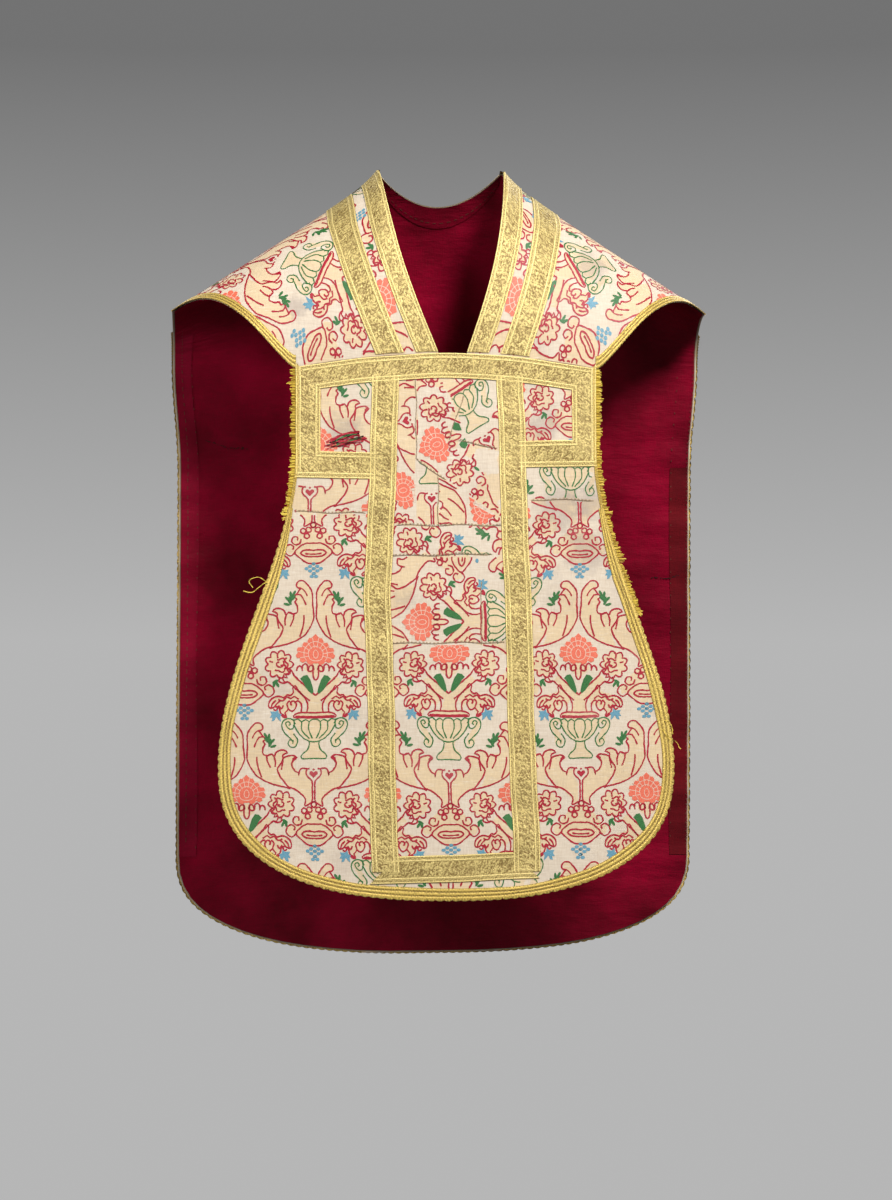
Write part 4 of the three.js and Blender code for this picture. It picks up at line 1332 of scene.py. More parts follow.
side_parts = {}
for side, hand, middle in (("right", -1, left_line), ("left", 1, right_line)):
    band_middle = hand * 184.0
    edges = (band_middle, middle) if hand < 0 else (middle, band_middle)
    mesh = panel_grid(*edges, lambda x: chest_seam(x) - 2, BOX_FOOT[hand], 2.6)
    side_parts[side + "_box"] = cloth_panel(
        side + "_box_silk", mesh, front_sheet, BROCADE_AT, brocade, hang_front,
        straw=lambda flat, hand=hand: unturned(flat, *BOXES[hand]))
    reach = lambda z, hand=hand: hand * (front_half_width(z) - 1)
    edges = (reach, middle) if hand < 0 else (middle, reach)
    mesh = panel_grid(*edges, BOX_FOOT[hand], -FRONT_HEM + 1, 2.6)
    cut_corners(mesh, *FRONT_CORNER, 1)
    side_parts[side] = cloth_panel(side + "_side_silk", mesh, front_sheet, BROCADE_AT, brocade,
                                   hang_front, straw=side_map(hand))

# %% Plies of the back
back_side = lambda inset, hand=1: (lambda z: hand * (back_half_width(z) - inset))
back_parts = {}
for name, height, material, slot_name, inset, top, foot, hold in (
        ("back_upper_lining_cloth", LINING_AT, lining, "crimson_lining", 3, back_top, LINING_SEAM,
         hang_back),
        ("back_lower_lining_cloth", LINING_AT, lining, "crimson_lining", 3, LINING_SEAM,
         -BACK_HEM + 3, "back"),
        ("back_linen", LINEN_AT, linen, "linen_interlining", 2, back_top, -BACK_HEM + 2,
         hang_back)):
    mesh = panel_grid(back_side(inset, -1), back_side(inset), top, foot, 5)
    if foot < LINING_SEAM:
        cut_corners(mesh, *BACK_CORNER, inset)
    back_parts[name] = cloth_panel(name, mesh, whole_back, height, material, hold)
for name, left, right in (("back_right_silk", back_side(1, -1), -BACK_COLUMN_AT),
                          ("back_centre_silk", -BACK_COLUMN_AT, BACK_COLUMN_AT),
                          ("back_left_silk", BACK_COLUMN_AT, back_side(1))):
    mesh = panel_grid(left, right, back_top, -BACK_HEM + 1, 3.4)
    if "centre" not in name:
        cut_corners(mesh, *BACK_CORNER, 1)
    back_parts[name] = cloth_panel(name, mesh, whole_back, BROCADE_AT, brocade,
                                   hang_back, straw=lambda flat: unturned(flat, 0, BACK_SPOT))

# %% Plies of the shoulders
shoulder_parts = {}
for side, hand in (("right", -1), ("left", 1)):
    for name, start, end, height, material, slot_name, pitch, straw in (
            ("lining_over_shoulder", 2, None, LINING_AT, lining, "crimson_lining", 5, False),
            ("linen_over_shoulder", 1, None, LINEN_AT, linen, "linen_interlining", 6, False),
            ("shoulder_silk", 0.5, None, BROCADE_AT, brocade, "brocade", 2.6, True)):
        label = side + "_" + name
        shoulder_parts[label] = shoulder_ply(label, hand, start, end, height, material,
                                             pitch, straw)
print("plies laid:", len(cloths))


# %% [markdown]
# ## Figures on the plies
# The figures are trimmed a little inside each ply, so their cut ends hide under the bands.

# %% Figures on the front, the shoulders and the back
def column_set(columns, rows):
    """Centres for copies of the figure: alternate columns stand half a repeat lower."""
    return [(COLUMN_STEP * i, REPEAT * (j + (0.5 if i % 2 else 0)))
            for i in columns for j in rows]


def between(left, right, top, foot, slack=0.0):
    left, right, top, foot = map(as_line, (left, right, top, foot))

    def keep(flat):
        x, z = flat[:, 0], flat[:, 1]
        return ((x > left(z) - slack) & (x < right(z) + slack) & (z < top(x) + slack)
                & (z > foot(x) - slack))
    return keep


def front_lay(flat, height):
    return lifted(front_sheet, flat[:, 0], flat[:, 1], height)


def back_lay(flat, height):
    return lifted(whole_back, flat[:, 0], flat[:, 1], height)


inner_right, inner_left = (lambda z: column_centre(z, -1) + 8), (lambda z: column_centre(z, 1) - 8)
outer_right, outer_left = (lambda z: column_centre(z, -1) - 8), (lambda z: column_centre(z, 1) + 8)
lattice = column_set(range(-3, 4), range(-1, 2))
in_centre = between(inner_right, inner_left, lambda x: chest_seam(x) - 20, -FRONT_HEM + 8)
for name, (degrees, spot, cuts) in SCRAPS.items():
    figures_in(
        name + "_figures", lambda flat, cuts=cuts: in_centre(flat) & inside_cuts(flat, cuts),
        lattice, lambda local, d=degrees, at=spot: turned(local, d, at), front_lay, hang_front)
for side, hand in (("right", -1), ("left", 1)):
    inner = outer_right if hand < 0 else outer_left
    lines = (hand * 176.0, inner) if hand < 0 else (inner, hand * 176.0)
    figures_in(
        side + "_box_figures", between(*lines, lambda x: chest_seam(x) - 20, BOX_FOOT[hand] + 8),
        lattice, lambda local, at=BOXES[hand]: turned(local, *at), front_lay, hang_front)
    reach = lambda z, hand=hand: hand * (front_reach(z) - 6)
    lines = (reach, inner) if hand < 0 else (inner, reach)
    for part, (degrees, spot), top, foot in (
            ("_top", SIDE_TOP[hand][:2], BOX_FOOT[hand] - 8, SIDE_TOP[hand][2] + 0.5),
            ("", SIDES[hand], SIDE_TOP[hand][2] - 0.5, -FRONT_HEM + 6)):
        figures_in(
            side + "_side_figures" + part, between(*lines, top, foot), lattice,
            lambda local, d=degrees, at=spot: turned(local, d, at), front_lay, hang_front)

# %% Figures on the back and the shoulders
back_reach_in = lambda z: back_reach(np.minimum(z, -BACK_BEND)) - 6
figures_in(
    "back_figures", between(lambda z: -back_reach_in(z), back_reach_in, lambda x: back_top(x) - 1,
                            -BACK_HEM + 6),
    column_set(range(-5, 6), range(-2, 4)), lambda local: turned(local, 0, BACK_SPOT), back_lay,
    hang_back)


def shoulder_angle(x, s):
    drop = ridge(x) - chest_seam(x)
    return (ridge(x) - s) * 2 / (front_depth(x) + drop)


for side, hand in (("right", -1), ("left", 1)):
    def on_shoulder(flat, hand=hand):
        x, s = flat[:, 0], flat[:, 1]
        angle = shoulder_angle(x, s)
        z = ridge(x) - (ridge(x) - chest_seam(x)) * (1 - np.cos(angle))
        return ((angle > 0.004) & (angle < wing_edge_angle(x) - 0.004) & (np.abs(x) < SPAN_HALF - 2)
                & ((x - neck_line(z, 3, hand)) * hand > 0))

    def shoulder_lay(flat, height):
        return lifted(front_shoulder, flat[:, 0], shoulder_angle(flat[:, 0], flat[:, 1]), height)

    figures_in(
        side + "_shoulder_figures", on_shoulder, column_set(range(-4, 5), range(-3, 4)),
        lambda local, hand=hand: shoulder_flat(local, hand), shoulder_lay, "yoke")


# %% [markdown]
# ## Metal bands
# A band is a strip of rows along its length. Across it, a picot row runs along each edge, then
# a plain border and a fine double cord, then a field with a scrolling figure in low relief.
# Its outermost points turn down onto the brocade, which gives it its millimetre of thickness.

# %% Band section and ribbons
ACROSS = [-1.0, -0.985, -0.95, -0.9, -0.86, -0.8, -0.72, -0.665, -0.63, -0.6, -0.57, -0.5, -0.4, -0.3,
          -0.2, -0.1]
ACROSS = np.array(ACROSS + [0.0] + [-a for a in reversed(ACROSS)])


def band_height(across, along, wide):
    """Relief of a galloon above its base, across -1..1, along in millimetres."""
    a = np.abs(across)
    row = 0.5 + 0.5 * np.cos(along * 2 * math.pi / 3.0)
    picot = 0.5 * np.exp(-((a - 0.93) / 0.045) ** 2) * (0.35 + 0.65 * row)
    cord = 0.42 * np.exp(-((a - 0.63) / 0.03) ** 2) + 0.16 * np.exp(-((a - 0.72) / 0.03) ** 2)
    zigzag = 0.12 * np.cos(2 * math.pi * along / 6.0 + 40 * (a - 0.8)) * (np.abs(a - 0.8) < 0.07)
    field = np.clip((0.57 - a) / 0.06, 0, 1)
    y = across * 18.0
    swirl = 2.6 * np.sin(y / 2.1 + 1.3 * np.sin(along / 5.3)) + 1.6 * np.sin(along / 3.1 - y / 4)
    scroll = 0.05 + 0.3 * np.sin(along / 1.25 + swirl) * np.cos(y / 1.6 + 2.0 * np.sin(along / 2.6))
    fall = np.where(a > 0.99, -1.15, 0.0)
    if wide < 20:
        twist = 0.16 * np.sin(along / 0.62 + 9.0 * across) * np.sin(along / 7.3 + 2.0)
        ribs = 0.1 + 0.3 * np.cos(across * 3 * math.pi) * (0.75 + 0.25 * row) + twist
        return picot * 0.6 + ribs + fall
    return picot + cord + zigzag + scroll * field + fall


def ribbon(name, rows, place, lay, wide, materials, hold, cut=()):
    """rows: arc lengths. place(along, across) gives flat points; lay(flat, height) the drape."""
    mesh = flat_grid(0, len(rows) - 1, 0, len(ACROSS) - 1, 1.0)
    index = np.rint(flat_of(mesh)[:, :2]).astype(int)
    along, across = np.array(rows)[index[:, 0]], ACROSS[index[:, 1]]
    flat = place(along, across)
    layer = mesh.loops.layers.uv.new("cloth")
    for face in mesh.faces:
        middle = sum(abs(across[l.vert.index]) for l in face.loops) / 4
        face.material_index = 1 if 0.88 < middle < 0.975 or 0.6 < middle < 0.66 else 0
        for loop in face.loops:
            i = loop.vert.index
            loop[layer].uv = (along[i] * MM, across[i] * wide * 0.5 * MM)
    if cut:
        for vert, (x, y) in zip(mesh.verts, flat):
            vert.co = (x, y, 0)
        keep_index = mesh.verts.layers.float.new("along")
        keep_across = mesh.verts.layers.float.new("across")
        for vert in mesh.verts:
            vert[keep_index], vert[keep_across] = along[vert.index], across[vert.index]
        for point, normal in cut:
            bmesh.ops.bisect_plane(mesh, geom=mesh.verts[:] + mesh.edges[:] + mesh.faces[:],
                                   dist=1e-4, plane_co=(*point, 0), plane_no=(*normal, 0),
                                   clear_outer=True)
        along = np.array([v[keep_index] for v in mesh.verts])
        across = np.array([v[keep_across] for v in mesh.verts])
        flat = flat_of(mesh)[:, :2]
    height = band_height(across, along, wide)
    # The relief is kept on the points too; the gilt finish paints shade and highlight from it.
    relief = mesh.verts.layers.float.new("relief")
    for vert, value in zip(mesh.verts, height):
        vert[relief] = max(-0.6, value)
    move_to(mesh, lay(flat, BAND_AT + height))
    return finish_piece(name, mesh, materials, hold)


def lay_on(surface):
    return lambda flat, height: lifted(surface, flat[:, 0], flat[:, 1], height)


def steps_between(a, b, pitch=1.2):
    return np.linspace(a, b, max(2, int(abs(b - a) / pitch)) + 1)


def waver(along, seed):
    """The slight unevenness of a band sewn on by hand."""
    return 0.7 * np.sin(along / 43 + seed) + 0.35 * np.sin(along / 17 + 2 * seed)


# %% [markdown]
# On the front two upright bands run from the chest to the hem, each from two lengths. Short
# bands box in a square beside each armhole, with mitred corners where they meet the chest band.

# %% Upright and box bands of the front
bands = {}
gilt = [gold, bright]
WIDE = 36.0                      # most bands; the chest and box side bands are a little narrower
CHEST_WIDE, BOX_SIDE_WIDE = 34.0, 33.0
BOX_SIDE_AT = 184.5
MITRE, MITRE_OUT = (168.0, -305.0), (32.0, 29.0)    # inner corner and slope of the mitred joint
BOX_BAND_SLOPE = 0.021
HEM_BAND_AT, HEM_BAND_SLOPE = -942.0, 0.03
BACK_HEM_BAND_AT = -1046.0
for side, hand in (("right", -1), ("left", 1)):
    for part, top, foot in (("upper", 286.0, 667.0), ("lower", 666.0, 944.0)):
        rows = steps_between(top, foot)

        def upright(along, across, hand=hand, part=part):
            centre = column_centre(-along, hand) + waver(along, hand + len(part))
            return np.stack([centre + across * WIDE / 2, -along], -1)
        bands[side + "_column_" + part] = ribbon(
            f"{side}_column_{part}_band", rows, upright, lay_on(front_sheet), WIDE, gilt,
            hang_front)

    def box_side(along, across, hand=hand):
        centre = hand * (BOX_SIDE_AT + waver(along, 3))
        return np.stack([centre + across * BOX_SIDE_WIDE / 2, -along], -1)

    corner = ((hand * MITRE[0], MITRE[1]), (-hand * MITRE_OUT[0], MITRE_OUT[1]))
    foot_z = BOX_FOOT[hand]
    low_corner = ((hand * MITRE[0], foot_z + WIDE / 2), (hand * -34.0, -36.0))
    bands[side + "_box_side"] = ribbon(
        side + "_box_side_band", steps_between(268, -foot_z + 19), box_side, lay_on(front_sheet),
        BOX_SIDE_WIDE, gilt, hang_front, cut=(corner, low_corner))

    def box_low(along, across, hand=hand, foot_z=foot_z):
        level = foot_z - 1 + BOX_BAND_SLOPE * (along - 100)
        return np.stack([hand * along, level + across * WIDE / 2], -1)
    bands[side + "_box_lower"] = ribbon(
        side + "_box_lower_band", steps_between(96, 201), box_low, lay_on(front_sheet), WIDE, gilt,
        hang_front, cut=((low_corner[0], tuple(-n for n in low_corner[1])),))


# %% Chest and hem bands
def chest(along, across):
    level = chest_seam(along) + (across - 1) * CHEST_WIDE / 2
    return np.stack([along, level + waver(along, 1)], -1)


chest_cuts = [((h * MITRE[0], MITRE[1]), (h * MITRE_OUT[0], -MITRE_OUT[1])) for h in (-1, 1)]
bands["chest"] = ribbon("chest_band", steps_between(-SEAM_HALF, SEAM_HALF), chest,
                        lay_on(front_sheet), CHEST_WIDE, gilt, hang_front,
                        cut=chest_cuts)


def hem_row(along, across):
    level = HEM_BAND_AT + HEM_BAND_SLOPE * (along + 96)
    return np.stack([along, level + across * WIDE / 2 + waver(along, 5) * 0.6], -1)


bands["hem"] = ribbon("hem_band", steps_between(-104, 124), hem_row, lay_on(front_sheet), WIDE, gilt,
                      hang_front,
                      cut=(((-66, -922), (-37, 37)), ((87, -920), (37, 37))))

# %% Bands of the back
for side, hand in (("right", -1), ("left", 1)):
    def back_upright(along, across, hand=hand):
        centre = hand * BACK_COLUMN_AT + waver(along, hand)
        return np.stack([centre + across * WIDE / 2, -along], -1)
    top = -float(back_top(np.array([BACK_COLUMN_AT + WIDE / 2]))[0])
    bands[side + "_back_column"] = ribbon(
        side + "_back_column_band", steps_between(top, 1040, 2.2), back_upright, lay_on(whole_back),
        WIDE, gilt, hang_back)


def back_hem_row(along, across):
    return np.stack([along, BACK_HEM_BAND_AT + across * WIDE / 2], -1)


bands["back_hem"] = ribbon("back_hem_band", steps_between(-118, 118, 2.2), back_hem_row,
                           lay_on(whole_back), WIDE, gilt, "back")


# %% [markdown]
# Two bands lie on each shoulder: one along the edge of the neck opening and one beside it. They
# follow lines that are worked out on the roll itself, so they stay parallel to that edge.

# %% Neck bands and the wings' edges
def shoulder_lay_high(flat, height):
    """Flat here is across and a share of the way down the yoke."""
    return lifted(front_shoulder, flat[:, 0], flat[:, 1], height)


for side, hand in (("right", -1), ("left", 1)):
    for part, start, end in (("inner", 0.0, 30.0), ("outer", 46.0, 85.0)):
        def neck_place(along, across, hand=hand, start=start, end=end):
            x, angle = shoulder_place(across * 0.5 + 0.5, along / 300.0, hand, start, end)
            return np.stack([x, angle], -1)
        bands[f"{side}_{part}_neck"] = ribbon(
            f"{side}_{part}_neck_band", steps_between(0, 298), neck_place, shoulder_lay_high,
            end - start, gilt, "yoke")

    def wing_place(along, across, hand=hand):
        x = hand * (along + 4)
        limit = wing_edge_angle(x)
        drop = ridge(x) - chest_seam(x)
        inset = np.minimum((1 - across) * 7.0 / np.maximum(60, drop), limit)
        ragged = 0.012 * np.sin(along * 1.9) * (across > 0.97)
        return np.stack([x, np.maximum(limit - inset * 1.2 + ragged, 0.0)], -1)
    bands[side + "_wing"] = ribbon(side + "_wing_edge_band", steps_between(196, 361.5), wing_place,
                                   shoulder_lay_high, 14.0, [yellow, yellow],
                                   "yoke")
print("bands:", len(bands))


# %% [markdown]
# ## Edges
# A narrow gilt braid with a picot outer edge runs round both panels. Above it, beside each
# armhole, the front keeps a row of bright yellow fringe loops. Inside, a brownish tape faces
# the back's edges and the neck, held by running stitches.

# %% Edge braids
EDGE_WIDE = 15.0
NECK_BRAID_END = 83.5


def outline(half_width, start, corner):
    """Flat points down one side, round the corner and to the middle of the hem."""
    wide, wide_drop, hem = corner
    points = [(float(half_width(np.array(-d))), -d) for d in np.arange(start, wide_drop, 4.0)]
    for i in range(61):
        angle = math.pi / 2 * i / 60
        points.append((wide * max(0.0, math.cos(angle)) ** 0.8,
                       -wide_drop - (hem - wide_drop) * math.sin(angle) ** 0.8))
    return points


def whole_outline(side_points):
    """Both sides as one path with even steps, its length and its direction inwards."""
    path = np.array(side_points + [(-x, z) for x, z in reversed(side_points[:-1])])
    gaps = np.linalg.norm(np.diff(path, axis=0), axis=1)
    length = np.concatenate([[0], np.cumsum(gaps)])
    rows = steps_between(0, length[-1], 2.0)
    even = np.stack([np.interp(rows, length, path[:, k]) for k in (0, 1)], -1)
    along = np.gradient(even, axis=0)
    along /= np.linalg.norm(along, axis=1, keepdims=True)
    inwards = np.stack([along[:, 1], -along[:, 0]], -1)
    return rows, even, inwards


def edge_braid(name, side_points, surface, hold):
    rows, even, inwards = whole_outline(side_points)

    def place(along, across):
        i = np.clip(np.rint(along / (rows[1] - rows[0])).astype(int), 0, len(rows) - 1)
        scallop = 2.0 * np.abs(np.sin(along * math.pi / 11.0)) ** 0.6 * (across < -0.94)
        ends = np.minimum(along, rows[-1] - along)
        shown = np.clip(0.36 + ends / 150.0, 0, 1)
        inset = (across + 1) * EDGE_WIDE * shown / 2 + 0.4 - scallop + waver(along, 2) * (across > 0)
        return even[i] + inwards[i] * inset[:, None]
    return ribbon(name, list(rows), place, lay_on(surface), EDGE_WIDE, [yellow, yellow],
                  hold)


front_edge = outline(front_half_width, 462.0, FRONT_CORNER)
bands["front_edge"] = edge_braid("front_edge_braid", front_edge, front_sheet, hang_front)
back_edge = outline(back_half_width, 126.0, BACK_CORNER)
bands["back_edge"] = edge_braid("back_edge_braid", back_edge, whole_back, hang_back)


def neck_round(along, across):
    x = np.clip(along, -NECK_BRAID_END, NECK_BRAID_END)
    return np.stack([x, back_top(x) - 5.2 + across * 5.0], -1)


bands["back_neck"] = ribbon("back_neck_braid", steps_between(-NECK_BRAID_END, NECK_BRAID_END),
                            neck_round, lay_on(whole_back), 10.0, [yellow, yellow],
                            "yoke")


print("bands so far:", len(bands))

# %% [markdown]
# The fringe is loose loops of silk, worn to a ragged edge. Hair strands could make it; flat
# crowned ribbons in small tufts are lighter and stay the same in every render.

# %% Fringe beside the armholes
FRINGE_TOP, FRINGE_PITCH = 277.0, 3.4
FRINGE_FOOT = {-1: 478.0, 1: 604.0}      # it runs lower down the left side
for side, hand in (("right", -1), ("left", 1)):
    random.seed(20 + hand)
    mesh = bmesh.new()
    for i in range(int((FRINGE_FOOT[hand] - FRINGE_TOP) / FRINGE_PITCH)):
        z = -FRINGE_TOP - FRINGE_PITCH * (i + random.uniform(0.3, 0.7))
        edge = float(front_half_width(np.array(z))) - 3
        long = random.uniform(5.5, 9.0) + (random.random() < 0.08) * random.uniform(2.0, 5.0)
        lean = random.uniform(-2.2, 1.6)
        for strand in range(4):
            start = (strand - 1.5) * 0.9
            reach = long * random.uniform(0.7, 1.05)
            points = [(edge, z + start), (edge + 3 + reach * 0.5, z + start + lean * 0.3),
                      (edge + 3 + reach, z + start * 1.3 + lean + random.uniform(-0.8, 0.8))]
            add_ribbon(mesh, [(hand * a, b) for a, b in points], random.uniform(0.45, 0.7),
                       int(random.random() < 0.35), layer=0.35 * (strand % 3))
    lay_flat(mesh, front_sheet,
             lambda flat: BROCADE_AT + flat[:, 2] + 0.5 * np.sin(flat[:, 1] * 1.7))
    bands[side + "_fringe"] = finish_piece(side + "_fringe_loops", mesh, [fringe_silk, fringe_dark],
                                           hang_front)

    def cord_place(along, across, hand=hand):
        x = hand * (front_half_width(-along) - 1.5) + across * 2.0
        return np.stack([x, -along], -1)
    ribbon(side + "_fringe_head", steps_between(FRINGE_TOP - 4, FRINGE_FOOT[hand]), cord_place,
           lay_on(front_sheet), 4.0, [yellow, yellow], hang_front)


print("fringe:", [len(bands[side + "_fringe"].data.polygons) for side in ("right", "left")], "faces")

# %% [markdown]
# Inside, strips of silk and tape face the raw edges. They lie on the lining, eased along the
# curve, and a row of small stitches catches them down.

# %% Facings and running stitches
FACING_AT, STITCH_AT = -1.7, -2.2
STITCH_HALF = 0.55
NECK_FACING_WIDE = 32.0


def stitch_row(name, path, surface, height, material, hold, pitch, long, wander=0.4):
    """Running stitches: short threads along a flat path, with bare cloth between."""
    mesh = bmesh.new()
    path = np.array(path, float)
    gaps = np.linalg.norm(np.diff(path, axis=0), axis=1)
    length = np.concatenate([[0], np.cumsum(gaps)])
    at = 2.0
    while at + long < length[-1]:
        ends = [at, at + long * random.uniform(0.8, 1.15)]
        points = [tuple(np.interp(e, length, path[:, k]) + random.uniform(-wander, wander)
                        for k in (0, 1)) for e in ends]
        add_ribbon(mesh, points, STITCH_HALF, 0)
        at += pitch * random.uniform(0.85, 1.15)
    lay_flat(mesh, surface, height)
    finish_piece(name, mesh, [material], hold)


random.seed(31)
facings = {}
for side, hand in (("right", -1), ("left", 1)):
    outer = lambda z, hand=hand: hand * (back_half_width(z) - 3.5)
    inner = lambda z, hand=hand: hand * (back_half_width(z) - 27 + 1.5 * np.sin(z / 60))
    lines = (outer, inner) if hand < 0 else (inner, outer)
    mesh = panel_grid(*lines, -150.0 if hand < 0 else -399.0, -945.0, 3.5)
    facings[side] = cloth_panel(side + "_back_edge_facing", mesh, whole_back, FACING_AT,
                                rose_tape if hand < 0 else tape, hang_back)
    inset, pitch, long = (12.5, 10.5, 5.5) if hand < 0 else (4.5, 6.5, 2.6)
    path = [(hand * (float(back_half_width(np.array(-d))) - inset), -d)
            for d in np.arange(124.0, 940.0, 6.0)]
    stitch_row(side + "_back_edge_stitches", path, whole_back, STITCH_AT, stitching, hang_back,
               pitch, long)
mesh = panel_grid(-106.0, 106.0, lambda x: back_top(x) - 1,
                  lambda x: back_top(x) - NECK_FACING_WIDE, 3.0)
facings["neck"] = cloth_panel("neck_facing_cloth", mesh, whole_back, FACING_AT, lining,
                              "yoke", strip=NECK_FACING_WIDE)
path = [(x, float(back_top(np.array([x]))[0]) - 24) for x in np.arange(-84, 84, 4.0)]
stitch_row("neck_facing_stitches", path, whole_back, STITCH_AT, stitching, "yoke", 9.0, 5.0)
print("facings:", list(facings))


# %% [markdown]
# ## Seams, mends and wear
# The front was pieced from scraps: each joint shows as a fine line of cream stitches over a
# darker crease, the joint's line with its shade painted in; the dark line along the yoke's lower
# edge is the painted shadow of that edge. Two tears in the lining were drawn together with dark
# thread, and a fold of the worn box beside the right armhole was caught down.

# %% Piecing seams on the outside
cream_thread = cloth_paint("cream_thread", (0.62, 0.47, 0.3, 1), (0.42, 0.3, 0.18, 1), 0.7, 1500.0, 0.0)
# Painted shade for the creases of the joints and for the shadow under the yoke's edge.
crease_shade = cloth_paint("crease", (0.36, 0.24, 0.15, 1), (0.2, 0.13, 0.08, 1), 0.8, 1500.0, 0.0)
dark_thread = cloth_paint("dark_thread", (0.05, 0.012, 0.012, 1), (0.02, 0.006, 0.006, 1), 0.8, 1500.0,
                          0.0)


def wavy(start, end, size=0.9, steps=24):
    t = np.linspace(0, 1, steps)
    x = start[0] + (end[0] - start[0]) * t
    z = start[1] + (end[1] - start[1]) * t
    return list(zip(x + size * np.sin(z / 9.0), z + size * np.sin(x / 11.0)))


seams = {
    "yoke_edge": [(x, float(chest_seam(x)) - 0.4) for x in np.linspace(-201, 201, 120)],
    "patch_low": wavy((-68, PATCH_SEAM), (72, PATCH_SEAM)),
    "strip_low": wavy((-75, STRIP_SEAM), (60, STRIP_SEAM + 3)),
    "middle_low": wavy((-74, LOWER_SEAM), (76, LOWER_SEAM + 2)),
    "upper_upright": wavy((FLOWER_CUT, -292), (FLOWER_CUT, -398)),
    "upper_slant": wavy((-41, -398), (-2, -425)), "urn_foot": wavy((15, -374), (66, -383)),
    "flower_side": wavy((22, -315), (3, -372)), "hand_side": wavy((-12, -420), (-12, -486)),
    "middle_upright": wavy((45, -560), (45, -643)), "right_top": wavy((112, -452), (196, -452)),
    "left_top": wavy((-108, -470), (-201, -468)),
}
for name, path in seams.items():
    mesh = bmesh.new()
    # Each dark ribbon is painted shade: of a joint's crease, or of the overlapping yoke along
    # yoke_edge.
    add_ribbon(mesh, path, 0.45, 0)
    lay_flat(mesh, front_sheet, FIGURE_AT + 0.2)
    finish_piece(name + "_crease", mesh, [crease_shade], hang_front)
    if name != "yoke_edge":
        stitch_row(name + "_seam_stitches", [(x, z + 1.6) for x, z in path], front_sheet,
                   FIGURE_AT + 0.35, cream_thread, hang_front, 5.0, 2.6)

print("seams:", len(seams))

# %% Mends in the lining and stray threads
for name, path in (("right_lining_mend", wavy((-321, -364), (-262, -376), 2.4)),
                   ("left_lining_mend", wavy((300, -556), (344, -549), 2.4))):
    stitch_row(name, path, whole_back, STITCH_AT + 0.3, dark_thread, hang_back, 4.2, 3.4,
               wander=1.8)
for side, hand in (("right", -1), ("left", 1)):
    path = [(hand * (float(back_half_width(np.array(-d))) - 26.0), -d)
            for d in np.arange(270.0, 940.0, 6.0)]
    stitch_row(side + "_facing_inner_stitches", path, whole_back, STITCH_AT, stitching, hang_back,
               17.0, 2.5)
mesh = bmesh.new()
for path in ([(-238, -562), (-250, -555), (-262, -560), (-257, -569)],
             [(-236, -560), (-246, -566), (-258, -575), (-270, -573)],
             [(287, -757), (296, -770), (305, -774), (311, -784)],
             [(290, -745), (299, -752), (301, -764)]):
    add_ribbon(mesh, path, 0.5, 0)
lay_flat(mesh, front_sheet, lambda flat: BAND_AT + 1.5 + 2 * np.sin(flat[:, 1]))
finish_piece("stray_threads", mesh, [fringe_silk], hang_front)
print("mends and stray threads sewn")

# %% The caught-down tear in the right box
mesh = bmesh.new()
random.seed(5)
for strand in range(14):
    z = -366 - strand * 0.95
    start, end = -163 + random.uniform(0, 14), -104 - random.uniform(0, 16)
    bow = random.uniform(-3, 3)
    path = [(start, z - 9 + strand * 0.2), ((start + end) / 2, z + bow), (end, z + 4)]
    add_ribbon(mesh, path, random.uniform(0.6, 1.2), (0, 0, 1, 2)[strand % 4])
lay_flat(mesh, front_sheet, lambda flat: FIGURE_AT + 0.6 + 0.8 * np.sin(flat[:, 1] * 1.3))
finish_piece("right_box_tear", mesh, [silks[CRIMSON], dark_thread, silks[GREEN]], hang_front)
print("tear caught down")

# %% [markdown]
# Every cloth is noted with the size it was cut to, and a table lists the bands, woven figures,
# braids and stitches that are sewn to it. The names of what a cloth carries start as listed here.

# %% The cloths and what is sewn to each
CARRIED = {
    "front_linen": ("chest_band", "hem_band", "right_column", "left_column", "front_edge_braid",
                    "right_fringe", "left_fringe", "stray_threads", "yoke_edge"),
    "centre_upper_silk": ("centre_upper_", "upper_", "hand_side", "flower_side", "urn_foot",
                          "patch_low"),
    "centre_middle_silk": ("centre_strip", "centre_middle_f", "strip_low", "middle_"),
    "centre_lower_silk": ("centre_lower_f",),
    "back_linen": ("back_edge_braid", "back_neck_braid", "back_hem_band"),
    "back_centre_silk": ("back_figures",),
    "back_upper_lining_cloth": ("right_lining_mend", "left_lining_mend"),
    "neck_facing_cloth": ("neck_facing_s",),
}
for side in ("right", "left"):
    CARRIED[side + "_box_silk"] = tuple(side + part for part in ("_box_f", "_box_side", "_box_lower",
                                                                 "_box_tear"))
    CARRIED[side + "_side_silk"] = (side + "_side_f", side + "_top")
    CARRIED["back_" + side + "_silk"] = (side + "_back_column",)
    CARRIED[side + "_shoulder_silk"] = tuple(side + part for part in (
        "_shoulder_f", "_inner_neck", "_outer_neck", "_wing_edge"))
    CARRIED[side + "_back_edge_facing"] = (side + "_back_edge_s", side + "_facing_inner")
trims = [o for o in bpy.data.objects if o.type == "MESH" and "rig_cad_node" not in o
         and o.name not in cloths and not o.hide_render and "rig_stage" not in o]
left_over = [o.name for o in trims if not any(o.name.startswith(v) for v in CARRIED.values())]
print("carried by no cloth:", left_over)

# %% [markdown]
# ## Which measured pieces each cloth piece stands for
# Every plain measured piece has a finished one in its place. The back is one length of cloth over
# the shoulder, so its plies stand for the pieces of the back and of the yoke above them.

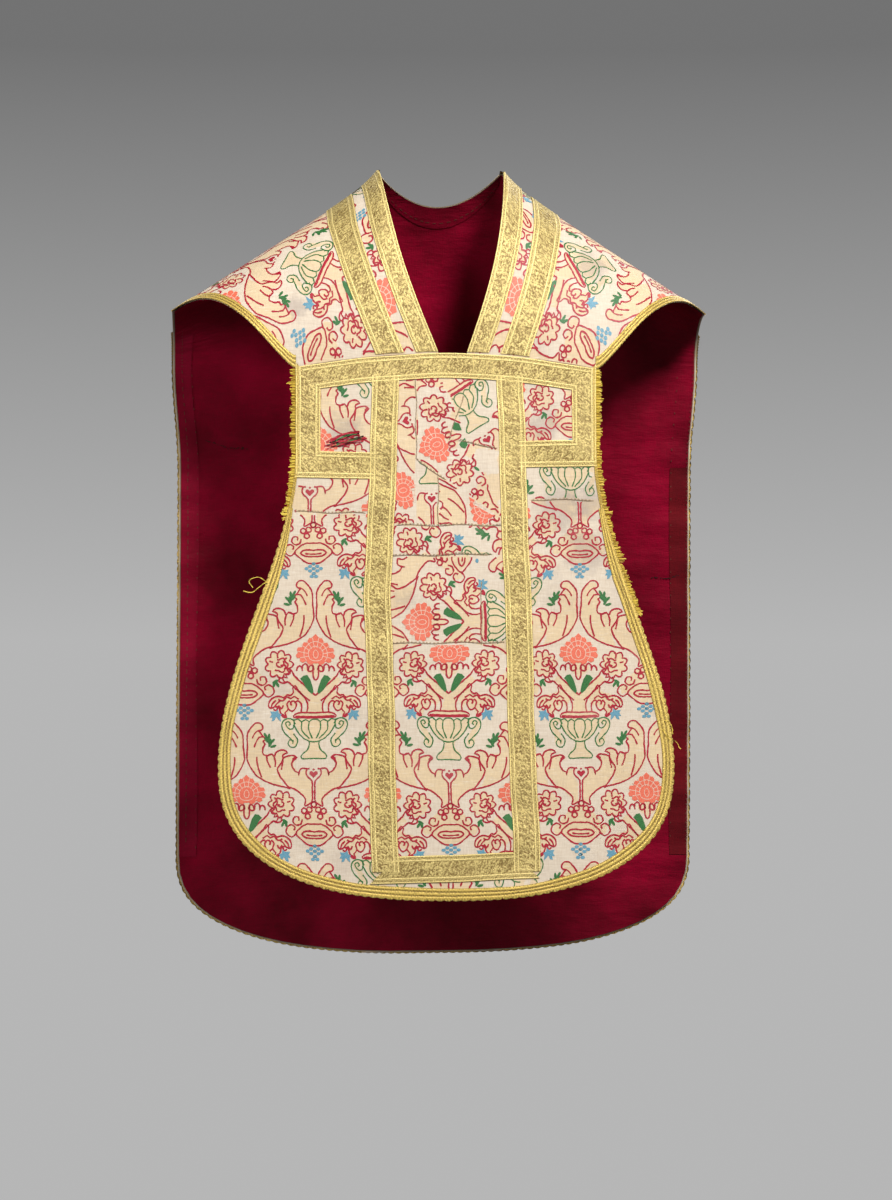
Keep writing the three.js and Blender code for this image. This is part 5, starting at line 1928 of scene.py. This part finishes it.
# %% Stand-ins for the measured pieces
for name, piece in (("front_lining", front_lining), ("front_interlining", front_linen),
                    ("centre_upper_patch", centre_parts["centre_upper"]),
                    ("centre_middle_patch", centre_parts["centre_middle"]),
                    ("centre_lower_brocade", centre_parts["centre_lower"]),
                    ("chest_galloon", bands["chest"]), ("hem_galloon", bands["hem"]),
                    ("front_edge_galloon", bands["front_edge"]),
                    ("back_edge_galloon", bands["back_edge"]),
                    ("back_hem_galloon", bands["back_hem"]),
                    ("back_neck_edging", bands["back_neck"]),
                    ("neck_facing", facings["neck"])):
    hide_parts(name)
for side in ("right", "left"):
    for piece, names in (
            (shoulder_parts[side + "_lining_over_shoulder"], [side + "_shoulder_lining"]),
            (shoulder_parts[side + "_linen_over_shoulder"], [side + "_shoulder_interlining"]),
            (shoulder_parts[side + "_shoulder_silk"],
             [side + "_shoulder_brocade", side + "_neck_brocade"]),
            (bands[side + "_inner_neck"], [side + "_inner_neck_galloon"]),
            (bands[side + "_outer_neck"], [side + "_outer_neck_galloon"]),
            (bands[side + "_wing"], [side + "_wing_edge_galloon"]),
            (side_parts[side + "_box"], [side + "_box_brocade"]),
            (side_parts[side], [side + "_side_brocade"]),
            (bands[side + "_column_upper"], [side + "_column_galloon"]),
            (bands[side + "_box_side"], [side + "_box_side_galloon"]),
            (bands[side + "_box_lower"], [side + "_box_lower_galloon"]),
            (bands[side + "_fringe"], [side + "_armhole_fringe"]),
            (bands[side + "_back_column"],
             [f"back_{side}_column_galloon", f"back_{side}_column_top"]),
            (facings[side], [f"back_{side}_facing"]),
            (back_parts[f"back_{side}_silk"], [f"back_{side}_brocade"])):
        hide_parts(*names)
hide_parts("back_upper_lining", "back_yoke_lining")
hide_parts("back_lower_lining")
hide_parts("back_interlining", "back_yoke_interlining")
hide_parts("back_centre_brocade", "back_yoke_brocade")

print("plies, bands, fringe and facings handed over")

# %% [markdown]

# %% Finish
print("done")
